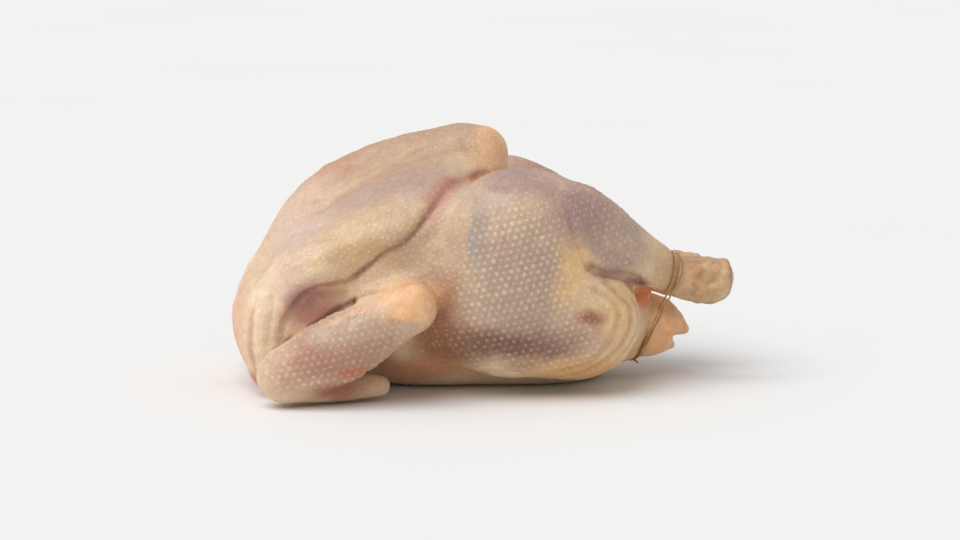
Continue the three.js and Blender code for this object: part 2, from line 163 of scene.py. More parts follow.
def tail_half(p):
    upper = limb(p, [(80, 7, 30, 17), (100, 5, 32, 10.5), (113.5, 2.5, 25, 2.5)])
    lower = limb(p, [(82, 6, 24, 13), (94, 5, 20.5, 9), (106, 1.5, 16.5, 2)])
    return blend(upper, lower, 4)


def wing_pit(p):
    return ellipsoid(p, (-94, 70, 48), (20, 14, 13), (0, -25, 0))


NEAR, FAR = np.float32([1, -1, 1]), np.float32([1, 1, 1])
FAR_LEG_SHIFT = np.float32([-8, 1, -3])


def flesh(p):
    """Distance in millimetres from points to the bird's surface."""
    p = np.asarray(p, np.float32)
    d = blend(trunk(p), blend(tail_half(p * NEAR), tail_half(p * FAR), 5), 8)
    drumstick_width = 20 - 14 * smoothstep(30, 60, p[..., 0])
    for side in (NEAR, FAR):
        body = p * side
        leg = body - (FAR_LEG_SHIFT if side is FAR else 0)
        d = blend(d, ellipsoid(body, (-32, 45, 62), (44, 22, 40), (0, -20, 0)), 16)
        d = blend(d, thigh(leg), 14)
        d = blend(d, ellipsoid(leg, (49.5, 44, 38.5), (32, 32, 31)), 14)
        d = blend(d, drumstick(leg), drumstick_width)
        d = blend(d, upper_arm(body), 12)
        d = blend(d, ellipsoid(body, (85, 20, 48), (6, 8, 5)), 6)
    breast = blend(pectoral(p * NEAR), pectoral(p * FAR), 16)
    breast = blend(breast, blend(breast_roll(p * NEAR), breast_roll(p * FAR), 14), 14)
    d = blend(d, blend(breast, keel(p), 16), 6)
    for side in (NEAR, FAR):
        body = p * side
        d = carve(d, wing_pit(body), 8)
        d = blend(d, forearm(body), 5)
    d = carve(d, ellipsoid(p, (86, 0, 58), (30, 17, 12)), 6)
    d = carve(d, ellipsoid(p, (-139, 0, 13), (20, 15, 24)), 5)
    return carve(d, p[..., 2] + 0.6, 5)


# ---- The elastic tie ---------------------------------------------------------------------------------
# A thin amber elastic string, wound twice round both shanks and under the tail, and knotted there. Each
# turn is pulled tight, so it runs straight between what it goes round and sinks a little into the skin.

STRING_RADIUS = 0.48
STRING_SUNK = 0.3
WIDEST_TURN = 60.0 # mm from a turn's middle, where the search for the skin starts
TIE_TURNS = [
    [(99.7, -25, 60), (91.7, 26, 57), (84.2, 0, 14)],
    [(102.8, -24, 60), (94.8, 25, 57), (84.8, 0, 14)],
]


def convex(loop):
    """The corners of a closed loop of points in a plane that a band stretched round them would touch."""
    kept = list(loop)
    i = 0
    passed = 0
    while passed < len(kept):
        a, b, c = kept[i - 1], kept[i], kept[(i + 1) % len(kept)]
        (ux, uy), (vx, vy) = b - a, c - b
        if ux * vy - uy * vx >= 0:
            kept.pop(i)
            i = (i - 1) % len(kept)
            passed = 0
        else:
            i = (i + 1) % len(kept)
            passed += 1
    return kept


def taut_turn(corners, clearance, rays=144, spacing=1.0):
    """Points along one turn in the plane of three points, clear of the skin, starting under the tail."""
    near, far, under = np.array(corners, float)
    centre = (near + far + under) / 3
    across = (far - near) / np.linalg.norm(far - near)
    down = np.cross(np.cross(across, under - near), across)
    down /= np.linalg.norm(down)
    angle = np.arange(rays) * 2 * math.pi / rays
    flat = np.stack([np.sin(angle), np.cos(angle)], -1)
    out = flat[:, :1] * across + flat[:, 1:] * down
    reach = np.full(rays, WIDEST_TURN)
    for _ in range(60):
        reach -= 0.8 * (flesh(centre + out * reach[:, None]) - clearance)
    rim = np.array(convex(flat * reach[:, None]))
    first = np.argmax(rim[:, 1] - 0.2 * np.abs(rim[:, 0]))
    rim = np.roll(rim, -first, 0)
    rim = np.vstack([rim, rim[:1]])
    run = np.concatenate([[0], np.cumsum(np.linalg.norm(np.diff(rim, axis=0), axis=1))])
    steps = np.linspace(0, run[-1], int(run[-1] / spacing))
    x, y = np.interp(steps, run, rim[:, 0]), np.interp(steps, run, rim[:, 1])
    return centre + x[:, None] * across + y[:, None] * down


tie_routes = [taut_turn(corners, STRING_RADIUS - STRING_SUNK) for corners in TIE_TURNS]


# ---- The skin's mesh ---------------------------------------------------------------------------------
# One closed skin over the whole bird. It is meshed on a fine grid, with one point in each grid cell that
# the surface crosses, and each point is then moved along the slope of the distance onto the surface.

SKIN_STEP = 1.46
SKIN_LOW = np.float32([-142, -97, -5])
SKIN_HIGH = np.float32([142, 97, 150])
COARSE = 4


def sampled(field, low, high, step):
    """Distances at the nodes of a grid. Those far from the surface are only known roughly."""
    coarse_step = step * COARSE
    coarse_count = np.ceil((high - low) / coarse_step).astype(int)
    axes = [low[k] + coarse_step * (np.arange(coarse_count[k]) + 0.5) for k in range(3)]
    value = field(np.stack(np.meshgrid(*axes, indexing="ij"), -1))
    for axis in range(3):
        value = np.repeat(value, COARSE, axis)
    near = np.abs(value) < coarse_step * 1.1
    value[near] = field(low + step * (np.argwhere(near) + 0.5))
    return value


CORNERS = np.array(list(itertools.product((0, 1), repeat=3)))


def separated(value):
    """Fills grid nodes wherever two sheets of the surface would touch along an edge or at a corner."""
    corners = [tuple(corner) for corner in CORNERS.tolist()]
    shown = [n - 1 for n in value.shape]
    parts = {c: tuple(slice(o, o + n) for o, n in zip(c, shown)) for c in corners}
    changed = True
    while changed:
        inside = value < 0
        changed = False
        for u, v in (((1, 0, 0), (0, 1, 0)), ((0, 1, 0), (0, 0, 1)), ((0, 0, 1), (1, 0, 0))):
            both = tuple(np.add(u, v))
            square = [parts[(0, 0, 0)], parts[u], parts[both], parts[v]]
            a, b, c, d = (inside[part] for part in square)
            alternate = (a == c) & (b == d) & (a != b)
            for part in square:
                value[part][alternate] = np.minimum(value[part][alternate], -1e-3)
            changed |= bool(alternate.any())
        total = sum(inside[parts[c]].astype(np.int8) for c in corners)
        for c in corners[:4]:
            opposite = tuple(1 - o for o in c)
            one, other = inside[parts[c]], inside[parts[opposite]]
            alone = (one == other) & (total == np.where(one, 2, 6))
            for part in parts.values():
                value[part][alone] = np.minimum(value[part][alone], -1e-3)
            changed |= bool(alone.any())
    return value


EDGES = [(a, b) for a in range(8) for b in range(a + 1, 8) if abs(CORNERS[a] - CORNERS[b]).sum() == 1]


def surface_net(value, low, step):
    """Points and outward quads of the surface where the sampled distance changes sign."""
    inside = value < 0
    cells = [n - 1 for n in value.shape]
    corner_inside = sum(inside[i:i + cells[0], j:j + cells[1], k:k + cells[2]].astype(np.int8)
                        for i, j, k in CORNERS)
    active = np.argwhere((corner_inside > 0) & (corner_inside < 8))
    corner_value = np.stack([value[tuple((active + c).T)] for c in CORNERS], -1)
    total = np.zeros((len(active), 3))
    crossings = np.zeros(len(active))
    for a, b in EDGES:
        va, vb = corner_value[:, a], corner_value[:, b]
        crossed = (va < 0) != (vb < 0)
        t = np.where(crossed, va / np.where(crossed, va - vb, 1), 0)
        total += crossed[:, None] * (CORNERS[a] + t[:, None] * (CORNERS[b] - CORNERS[a]))
        crossings += crossed
    points = low + step * (active + total / crossings[:, None] + 0.5)

    number = np.full(cells, -1, np.int32)
    number[tuple(active.T)] = np.arange(len(active))
    quads = []
    for axis in range(3):
        ahead = np.roll(inside, -1, axis)
        nodes = np.argwhere(inside != ahead)
        nodes = nodes[(nodes > 0).all(1) & (nodes < cells).all(1)]
        u, v = np.roll(np.eye(3, dtype=int), -axis, 0)[1:]
        ring = np.stack([number[tuple((nodes - o).T)] for o in (0 * u, u, u + v, v)], -1)
        outward = inside[tuple(nodes.T)]
        quads.append(np.where(outward[:, None], ring, ring[:, ::-1]))
    return points, np.concatenate(quads)


def slope(field, p, h=0.1):
    """The direction in which the distance grows."""
    shifts = np.eye(3, dtype=np.float32) * h
    return np.stack([(field(p + s) - field(p - s)) / (2 * h) for s in shifts], -1)


def settled(field, points, passes=3):
    for _ in range(passes):
        g = slope(field, points)
        steepness = np.maximum((g * g).sum(-1), 0.1)
        points = points - (0.8 * field(points) / steepness)[:, None] * g
    return points


def relaxed(points, quads, rounds):
    """Each point drawn towards the mean of its neighbours, which takes the ripple out of tight creases."""
    a, b = np.concatenate([quads[:, [0, 1]], quads[:, [1, 2]], quads[:, [2, 3]], quads[:, [3, 0]]]).T
    count = np.bincount(a, minlength=len(points)) + np.bincount(b, minlength=len(points))
    for _ in range(rounds):
        mean = np.stack([(np.bincount(a, points[b, k], len(points)) +
                          np.bincount(b, points[a, k], len(points))) / count for k in range(3)], -1)
        points = points + 0.5 * (mean - points)
    return points


skin_grid = separated(sampled(flesh, SKIN_LOW, SKIN_HIGH, SKIN_STEP))
skin_points, skin_quads = surface_net(skin_grid, SKIN_LOW, SKIN_STEP)
skin_points = relaxed(settled(flesh, skin_points), skin_quads, 2)


# ---- Folds and lumps of the skin ---------------------------------------------------------------------
# The loose skin is folded where a leg or a wing is bent against the body, puckered round the tail and the
# cut shanks, and pressed in by the tie. Each fold follows a route given on the side y > 0, in mm, and is
# mirrored to the other side. A fold on a leg moves with that leg.

def beside(p, side, on_leg):
    """Points as if they were on the side y > 0, in the leg's own place where the feature is on a leg."""
    q = p * side
    return q - FAR_LEG_SHIFT if on_leg and side is FAR else q


def from_route(q, route, per_span=4):
    """Distances from points to a smooth route, and how far along it each nearest place is, 0 to 1."""
    line = stations(route, per_span)
    nearest = np.full(len(q), np.inf, np.float32)
    along = np.zeros(len(q), np.float32)
    for i, (a, b) in enumerate(zip(line, line[1:])):
        step = b - a
        t = np.clip((q - a) @ step / (step @ step), 0, 1)
        d = np.linalg.norm(q - a - t[:, None] * step, axis=1)
        closer = d < nearest
        nearest = np.where(closer, d, nearest)
        along = np.where(closer, (i + t) / (len(line) - 1), along)
    return nearest, along


def patch(q, centre, radii, edge=0.6):
    """1 inside an ellipsoid and 0 outside it, with a soft edge."""
    out = np.linalg.norm((q - np.float32(centre)) / np.float32(radii), axis=1)
    return smoothstep(1 + edge, 1 - edge, out)


# Routes of folds and creases.
BREAST_CREASE = [(0, 32, 118), (-10, 41, 116), (-20, 48, 114), (-27, 56, 107), (-33, 61, 100),
                 (-47, 66, 86), (-58, 68, 79), (-74, 67, 68)]
HOLLOW_RIM = [(-66, 68, 74), (-79, 65, 66), (-93, 64, 63), (-103, 60, 55), (-111, 58, 44), (-113, 56, 32)]
ARM_CREASE = [(-108, 58, 32), (-103, 62, 37), (-91, 68, 46), (-82, 66, 51), (-74, 67, 55)]
UPPER_ARM_CREASE = [(-72, 68, 57), (-63, 72, 61), (-54, 77, 65), (-46, 79, 67)]
ARM_EDGE = [(-112, 74, 25), (-102, 78, 35), (-90, 81, 43), (-76, 84, 51), (-62, 85, 59), (-50, 84, 65)]
DRUMSTICK_EDGE = [(38, 73, 106), (40, 74, 101), (42, 75, 92), (45, 75, 84), (48, 75, 77), (51, 75, 72),
                  (57, 71, 69), (66, 62, 66), (75, 51, 62.5), (84, 40, 58)]
KEEL_FOLD = [(-99, 7, 99), (-84, 15, 103), (-72, 16, 110), (-59, 17, 117), (-45, 14, 125),
             (-33, 12, 130), (-12, 11, 135)]
BELOW_KEEL_FOLD = [(x, y + 9, z - 5) for x, y, z in KEEL_FOLD]
SECOND_KEEL_FOLD = [(x - 3, y - 8, z + 4) for x, y, z in KEEL_FOLD[1:]]
UNDER_KEEL_TIP = [(-8, 38, 115), (-2, 34, 118), (5, 28, 119), (12, 20, 119)]
MUSCLE_EDGE = [(-109, 45, 80), (-96, 58, 87), (-81, 64, 91), (-68, 64, 95), (-51, 62, 99), (-39, 61, 101)]
HOLLOW_SLIT = [(-73, 66, 56), (-78, 62, 53), (-83, 58, 50), (-89, 57, 46), (-97, 58, 41)]
DRUMSTICK_SHADE = [(42, 74, 101), (48, 73, 92), (54, 70, 82), (63, 64, 74), (73, 56, 69)]
SINEW_SLIT = [(-9, 76, 99), (-11, 76, 94), (-13, 76, 88)]
THIGH_ARCS = [
    [(50, 78, 62), (58, 73, 57), (66, 70, 48), (63, 73, 38), (55, 73, 25), (43, 68, 17), (26, 66, 12)],
    [(58, 71, 64), (66, 68, 58), (74, 62, 49), (72, 66, 36), (62, 69, 23), (51, 65, 15), (36, 60, 8)],
    [(71, 62, 60), (79, 55, 48), (78, 57, 36), (69, 63, 22), (60, 60, 12)],
]
NECK_FOLDS = [
    [(-126, 52, 62), (-128, 52, 45), (-128, 50, 28), (-126, 48, 10)],
    [(-132, 34, 58), (-135, 34, 42), (-134, 34, 24), (-130, 34, 8)],
    [(-118, 60, 58), (-120, 58, 42), (-121, 56, 24)],
]
TAIL_FOLDS = [
    [(100, 14, 46), (97, 16, 38), (92, 18, 28), (86, 18, 17)],
    [(104, 9, 36), (104, 9, 28), (99, 11, 22)],
    [(91, 18, 40), (88, 21, 31), (84, 21, 22)],
]
SHANK_WRINKLES = [[(x, 20 + 12 * math.sin(a), 58 + 12 * math.cos(a)) for a in np.linspace(0.2, 2.6, 5)]
                  for x in (111, 114.5, 117.5)]
# Each fold: whether it is on a leg, height in mm (below 0 for a groove), half-width, then its route.
FOLDS = [
    (False, -1.7, 2.4, BREAST_CREASE),
    (False, -1.0, 2.2, HOLLOW_RIM),
    (False, -1.9, 2.4, ARM_CREASE),
    (False, -1.5, 2.0, UPPER_ARM_CREASE),
    (False, 0.9, 2.6, ARM_EDGE),
    (True, -1.6, 2.2, DRUMSTICK_EDGE),
    (True, -1.4, 1.9, DRUMSTICK_EDGE[5:]),
    (False, 1.4, 3.0, KEEL_FOLD),
    (False, -1.2, 4.0, BELOW_KEEL_FOLD),
    (False, -0.8, 2.6, SECOND_KEEL_FOLD),
    (False, -1.2, 2.2, UNDER_KEEL_TIP),
    (False, -0.9, 3.6, MUSCLE_EDGE),
    (True, -0.8, 1.8, SINEW_SLIT),
    (True, -0.8, 2.4, [(2, 58, 119), (12, 57, 121), (24, 54, 120), (34, 48, 117)]),
]
FOLDS += [(True, -high, 2.1, arc) for high, arc in zip((0.6, 1.0, 0.7), THIGH_ARCS)]
FOLDS += [(False, -1.0, 2.2, fold) for fold in NECK_FOLDS]
FOLDS += [(False, -0.9, 1.6, fold) for fold in TAIL_FOLDS]
FOLDS += [(True, -0.5, 1.3, wrinkle) for wrinkle in SHANK_WRINKLES]

# Each lump: whether it is on a leg, height, radius, centre.
LUMPS = [
    (True, 1.0, 5, (122, 28, 67)), (True, 0.9, 4, (130, 31, 58)), (True, 0.8, 6, (118, 31, 51)),
    (True, 0.9, 5, (126, 22, 45)), (True, 0.7, 5, (113, 14, 66)), (True, 0.8, 5, (128, 10, 58)),
    (True, -0.9, 3.0, (124, 33, 60)), (True, 1.1, 5, (96, 30, 72)), (True, -0.7, 4.0, (109, 24, 69)),
    (True, -0.7, 2.6, (130, 28, 66)), (True, 0.6, 3.0, (133, 20, 67)), (True, -0.8, 3.2, (118, 33, 58)),
    (False, 1.2, 5, (-42, 86, 60)), (False, 0.9, 4, (-52, 87, 62)), (False, -0.9, 5, (-50, 90, 44)),
    (False, 2.2, 7, (-67, 67, 62)), (False, 1.6, 7, (-58, 69, 69)), (False, 1.3, 16, (-103, 2, 97)),
    (False, 1.0, 9, (-93, 4, 110)),
    (False, 0.8, 5, (-112, 82, 18)), (False, 1.2, 8, (4, 9, 136)), (False, 0.9, 9, (-14, 20, 130)),
    (False, 0.9, 6, (102, 9, 36)), (False, -0.9, 3.5, (100, 11, 24)), (False, 0.7, 5, (92, 16, 20)),
    (False, 1.0, 5, (-86, 4, 118)), (False, 0.8, 4, (-76, 8, 119)), (False, 0.7, 4, (-60, 6, 127)),
    (False, 0.9, 7, (-64, 66, 84)), (False, 0.8, 7, (-88, 66, 76)), (False, 0.8, 6, (-44, 63, 96)),
    (True, 0.9, 8, (30, 80, 84)), (True, -0.7, 7, (34, 80, 60)), (True, 0.9, 8, (52, 76, 52)),
]


BROAD_LUMP, CLOSE_LUMP = 0.8, 0.4 # mm


def lumpiness(p):
    """Low unevenness of soft flesh under loose skin, in mm."""
    broad = np.array([noise.noise(v) for v in (p / 17).tolist()])
    close = np.array([noise.noise(v) for v in (p / 6.5 + 40).tolist()])
    return BROAD_LUMP * broad + CLOSE_LUMP * close


HOCK_CENTRE, HOCK_RADII = (120, 21, 57), (15, 17, 17)


def scaly(p):
    """Patches of rough skin on the hocks, -1 to 1, and 0 elsewhere."""
    rough = np.array([noise.noise(v) for v in (p / 3.4 + 23).tolist()])
    near, far = (patch(beside(p, side, True), HOCK_CENTRE, HOCK_RADII, 0.4) for side in (NEAR, FAR))
    return np.clip(2.4 * rough, -1, 1) * np.maximum(near, far)


PRESS_WIDTH = 2.2


def tie_depth(p):
    """How near the tie presses on each point: 1 under the string, 0 where it is clear."""
    depth = np.zeros(len(p), np.float32)
    for route in tie_routes:
        d, _ = from_route(p, route[::3], 1)
        depth = np.maximum(depth, np.exp(-(d / PRESS_WIDTH) ** 2))
    return depth


SCALE_HEIGHT = 0.45 # mm
PRESS_DEPTH = 0.7 # mm
FLAT_UNDER = 12 # mm: the back is less lumpy below this height


def relief(p):
    """Height in mm of folds and lumps over the plain flesh."""
    height = lumpiness(p) * smoothstep(0, FLAT_UNDER, p[:, 2])
    for side in (NEAR, FAR):
        for on_leg, high, width, route in FOLDS:
            q = beside(p, side, on_leg)
            low, top = np.min(route, 0) - 3 * width, np.max(route, 0) + 3 * width
            near = ((q > low) & (q < top)).all(1)
            d, along = from_route(q[near], route)
            ends = smoothstep(0, 0.12, along) * smoothstep(0, 0.12, 1 - along)
            height[near] += high * np.exp(-(d / width) ** 2) * (0.25 + 0.75 * ends)
        for on_leg, high, radius, centre in LUMPS:
            d = np.linalg.norm(beside(p, side, on_leg) - np.float32(centre), axis=1)
            height += high * np.exp(-(d / radius) ** 2)
    return height + SCALE_HEIGHT * scaly(p) - PRESS_DEPTH * tie_depth(p)


def normals_of(points, quads):
    across = points[quads[:, 2]] - points[quads[:, 0]]
    other = points[quads[:, 3]] - points[quads[:, 1]]
    face = np.cross(across, other)
    total = np.stack([sum(np.bincount(quads[:, c], face[:, k], len(points)) for c in range(4))
                      for k in range(3)], -1)
    return total / np.linalg.norm(total, axis=1, keepdims=True)


MM = 0.001
plain_middle = (skin_points.min(0) + skin_points.max(0)) / 2
skin_points += normals_of(skin_points, skin_quads) * relief(skin_points)[:, None]
skin_points[:, 2] = np.maximum(skin_points[:, 2], 0)


# ---- The skin's colours ------------------------------------------------------------------------------
# Skin is pale yellow over fat, pink where it lies on breast meat, and mauve-grey where the dark leg meat
# shows through. Wrung-out skin at the tail and joints is orange, and pinched creases are red, with painted
# shade laid into them. Places in shade under the thigh, between wing and thigh, between the legs and along
# the tie are painted darker, and the keel's tip is painted lighter where light falls on it.

def linear(colour):
    """Linear colour from six hexadecimal digits."""
    c = np.array([int(colour[i:i + 2], 16) for i in (0, 2, 4)]) / 255
    return np.where(c <= 0.04045, c / 12.92, ((c + 0.055) / 1.055) ** 2.4)


def band(q, route, width, edge=0.5):
    """1 along a route and 0 away from it, with a soft edge."""
    d, _ = from_route(q, route)
    return smoothstep(width * (1 + edge), width * (1 - edge), d)


TONES = {
    # skin over fat
    "cream": "dcc0a0", "pale fat": "f0d6b8", "pink fat": "d8b8a2", "rosy": "e6b296", "olive fat": "c6a57e",
    # the brightest fat tone is orange fat painted lighter, as light falling on it
    "yellow fat": "e0b682", "orange fat": "eab280", "lit orange fat": "f4be8c", "brown fat": "cc9a5c",
    # amber darkens the skin along the tie: painted shade beside the string and pressed skin
    "amber": "9a6238",
    # skin over meat
    "tan": "b8987e", "thin skin": "b89c8c", "lilac": "ccb4aa", "mauve": "a08480", "wing": "ae8270",
    "grey cream": "bca490", "dusky": "ae9684", "drumstick": "aa8c80", "sinew": "a69484",
    "blue grey": "8f9494", "ruddy": "be9074", "hock": "bc9466", "ochre": "a87850", "grey brown": "7c6654",
    "quill": "4e4038",
    # skin in painted shade, bruises and raw places
    "shaded thigh": "6c4836", "shaded flank": "884a22", "orange flesh and shade": "cc6e30", "bruise and shade": "906462",
    "bare pink": "c49890", "bare red": "b86c58", "sore": "b4684e", "raw skin": "b8603c",
    "dry blood": "82290c", "raw flesh": "94402f", "blood": "b03c28",
    # creases: their own redness, with painted shade laid into them
    "pink crease": "b4786a", "brown crease": "8c5646", "red crease": "8a4630", "dark crease": "55241a",
    "orange crease": "ac6a40",
}
# Each patch: whether it is on a leg, tone, strength, then centre and radii.
PATCHES = [
    (False, "tan", 0.8, (-50, 0, 128), (80, 34, 30)), # skin over the keel
    (False, "pink fat", 0.7, (-98, 8, 98), (20, 34, 26)), # front of the breast
    (False, "ruddy", 0.7, (-80, 3, 118), (18, 14, 10)), # reddened skin at the keel's brow
    (False, "lilac", 0.8, (-104, 34, 90), (22, 30, 17)), # breast meat near the neck
    (False, "thin skin", 0.9, (-60, 42, 111), (46, 20, 18)), # thin skin over breast meat
    (False, "mauve", 0.35, (-38, 42, 117), (24, 15, 12)), # the same towards the keel's tip
    (False, "lit orange fat", 1.0, (6, 16, 127), (14, 22, 16)), # keel's tip: orange fat painted lighter, as light falling on it
    (False, "olive fat", 0.9, (-62, 64, 88), (34, 16, 15)), # fat along the breast's lower edge
    (False, "cream", 0.4, (-56, 63, 92), (26, 9, 6)), # its top
    (False, "hock", 0.5, (-68, 68, 79), (20, 8, 7)), # its brown underside
    (False, "pink fat", 0.8, (-104, 58, 66), (18, 16, 20)), # fat turning down at the neck
    (False, "pale fat", 0.8, (-121, 52, 45), (12, 18, 44)), # loose skin down beside the neck
    (False, "rosy", 0.7, (-135, 20, 35), (8, 30, 40)), # its edge
    (False, "tan", 0.8, (-30, 68, 74), (24, 18, 32)), # flank
    (False, "shaded flank", 0.85, (-28, 64, 36), (20, 20, 25)), # shaded skin between wing and thigh
    (False, "orange flesh and shade", 0.5, (-34, 44, 13), (30, 22, 9)), # its lowest part, warmer and darker: painted shade near the floor
    (False, "bare pink", 0.9, (-94, 63, 50), (15, 12, 12)), # bare hollow above the wing
    (False, "bare red", 0.7, (-88, 58, 46), (15, 9, 6)), # its red lower edge behind the wing
    (False, "mauve", 0.6, (-98, 63, 55), (10, 8, 5)), # bluish meat seen through its skin
    (False, "wing", 1.0, (-86, 86, 32), (38, 18, 20)), # wing
    (False, "grey cream", 0.7, (-84, 84, 44), (34, 12, 8)), # top of the wing
    (False, "orange fat", 0.9, (-45, 82, 56), (16, 16, 14)), # elbow
    (False, "cream", 0.8, (-62, 68, 66), (14, 8, 8)), # roll of skin over the upper arm
    (False, "grey cream", 0.8, (-48, 88, 43), (8, 8, 4)), # gristle showing through below it
    (False, "sore", 0.4, (-55, 91, 48), (4, 6, 1.7)), # small sore beside it
    (False, "raw skin", 0.7, (-75, 85, 20), (8, 11, 3.5)), # raw skin at the wing tip
    (False, "raw flesh", 0.8, (-80, 76, 8), (22, 14, 6)), # blood under the wing tip
    (True, "grey cream", 0.9, (-4, 62, 110), (18, 26, 20)), # knee
    (True, "mauve", 0.9, (20, 60, 119), (22, 19, 9)), # mauve skin over the knee
    (True, "bruise and shade", 0.5, (3, 66, 114), (7, 8, 2.2)), # bruise on the knee
    (True, "dusky", 1.0, (14, 84, 64), (32, 24, 38)), # dark meat of the thigh through the skin
    (True, "sinew", 0.9, (-9, 78, 92), (6, 14, 18)), # bluish sinew in front of it
    (True, "blue grey", 0.35, (-12, 78, 87), (3.5, 10, 9)), # where it is nearest the surface
    (True, "yellow fat", 0.9, (42, 78, 76), (12, 18, 26)), # fat behind it
    (True, "shaded thigh", 0.9, (10, 76, 31), (34, 20, 11)), # shaded underside of the thigh
    (True, "brown fat", 0.8, (46, 64, 13), (28, 24, 11)), # brown fat at the thigh's foot
    (True, "yellow fat", 0.8, (68, 66, 42), (14, 20, 22)), # folds behind the thigh
    (True, "dry blood", 0.75, (51, 78, 46), (8, 8, 4.0)), # sore spot behind the thigh
    (True, "sore", 0.4, (54, 77, 39), (3, 8, 3)), # its darker end
    (True, "bruise and shade", 0.4, (44, 76, 33), (15, 12, 9)), # the bruised skin under it
    (True, "drumstick", 1.0, (46, 60, 102), (34, 26, 22)), # drumstick
    (True, "dusky", 0.8, (70, 52, 82), (20, 22, 16)), # its lower part
    (True, "mauve", 0.7, (46, 66, 104), (20, 14, 13)), # its darkest meat, next to the knee
    (True, "pink fat", 0.4, (38, 52, 119), (18, 14, 8)), # its top
    (True, "bruise and shade", 0.5, (44, 36, 114), (24, 15, 9)), # its inner side, darker: painted shade between the legs
    (True, "hock", 0.8, (97, 30, 63), (13, 16, 15)), # ankle
    (True, "hock", 1.0, (120, 20, 56), (18, 18, 18)), # hock
    (True, "raw flesh", 0.9, (137, 20, 57), (3.8, 16, 16)), # skin's cut edge
    (True, "raw flesh", 0.8, (136, 20, 57), (3.0, 9, 9)), # raw flesh round the cut joint
    (False, "orange fat", 1.0, (100, 8, 28), (20, 20, 22)), # tail
    (False, "hock", 0.5, (104, 14, 40), (12, 6, 6)), # its browner upper edge
    (False, "orange flesh and shade", 0.5, (113, 5, 27), (5, 6, 5)), # its tip
    (False, "yellow fat", 0.6, (88, 18, 19), (10, 9, 5)), # its root
    (False, "orange flesh and shade", 0.9, (84, 26, 50), (11, 14, 10)), # raw edge between tail and leg
    (False, "sore", 0.8, (84, 0, 54), (18, 16, 14)), # vent
    (False, "blood", 0.6, (-130, 0, 12), (14, 15, 20)), # raw flesh inside the neck's skin
    (False, "blood", 0.9, (-131, 46, 7), (7, 12, 7)), # blood at the neck
    (True, "wing", 0.5, (112, 29, 66), (5, 8, 4)), # pinker and browner skin on the hock
    (True, "ruddy", 0.5, (126, 24, 69), (5, 8, 3)),
    (True, "ochre", 0.5, (116, 32, 60), (4, 6, 3)),
    (True, "yellow fat", 0.4, (126, 31, 54), (6, 8, 4)),
    (False, "quill", 0.5, (-116, 4, 80), (1.5, 3, 1.5)), # stub of a pin feather
]
# Each streak: whether it is on a leg, tone, strength, half-width and route. Streaks in creases, slits and
# grooves lay painted shade into them together with their own redness; the one on the drumstick's lower side
# is painted shade.
STREAKS = [
    (False, "pink crease", 0.45, 4.4, BREAST_CREASE[:5]),
    (False, "brown crease", 0.7, 1.5, BREAST_CREASE[3:]),
    (False, "pink crease", 0.6, 5.0, [(-22, 47, 115), (-27, 52, 112), (-31, 56, 107)]),
    (False, "brown crease", 0.45, 2.2, HOLLOW_RIM),
    (False, "red crease", 0.7, 2.2, ARM_CREASE),
    (False, "dark crease", 0.8, 1.7, HOLLOW_SLIT),
    (False, "ochre", 0.5, 1.6, UPPER_ARM_CREASE),
    (False, "rosy", 0.6, 1.8, ARM_EDGE),
    (False, "cream", 0.7, 3.0, KEEL_FOLD),
    (False, "wing", 0.5, 3.2, BELOW_KEEL_FOLD),
    (False, "ruddy", 0.5, 2.4, SECOND_KEEL_FOLD),
    (False, "orange crease", 0.7, 2.2, UNDER_KEEL_TIP),
    (True, "grey brown", 0.4, 1.5, SINEW_SLIT),
    (True, "mauve", 0.5, 5.0, DRUMSTICK_SHADE),
    (True, "brown crease", 0.6, 3.6, DRUMSTICK_EDGE[5:]),
    (True, "dark crease", 0.8, 2.2, DRUMSTICK_EDGE[5:]),
    (True, "orange crease", 0.6, 3.0, [(74, 52, 59), (82, 42, 56), (88, 34, 53)]),
]
STREAKS += [(True, "ochre", strength, width, arc)
            for strength, width, arc in zip((0.3, 0.45, 0.4), (2.0, 2.0, 1.8), THIGH_ARCS)]
STREAKS += [(False, "ruddy", 0.6, 1.8, fold) for fold in NECK_FOLDS]
STREAKS += [(False, "red crease", 0.6, 1.3, fold) for fold in TAIL_FOLDS]
STREAKS += [(True, "ochre", 0.5, 1.0, wrinkle) for wrinkle in SHANK_WRINKLES]


WAVER_SEED = 5 # without a seed, noise_vector gives other values in each run
WAVER_FROM = 12 # mm: smaller patches waver less
BROAD_WAVER, CLOSE_WAVER = 7, 2.2 # mm


def wavering(p):
    """Random shifts in mm that give patches of colour natural edges."""
    noise.seed_set(WAVER_SEED)
    broad = np.array([noise.noise_vector(v) for v in (p / 20 + 7).tolist()])
    close = np.array([noise.noise_vector(v) for v in (p / 6 + 91).tolist()])
    return (BROAD_WAVER * broad + CLOSE_WAVER * close).astype(np.float32)


# shares of the hocks' grey-brown, and of the darker skin along the tie: painted shade beside the string and
# skin pressed by it
SCALY_SHARE, PRESSED_AND_SHADED_SHARE = 0.55, 0.45


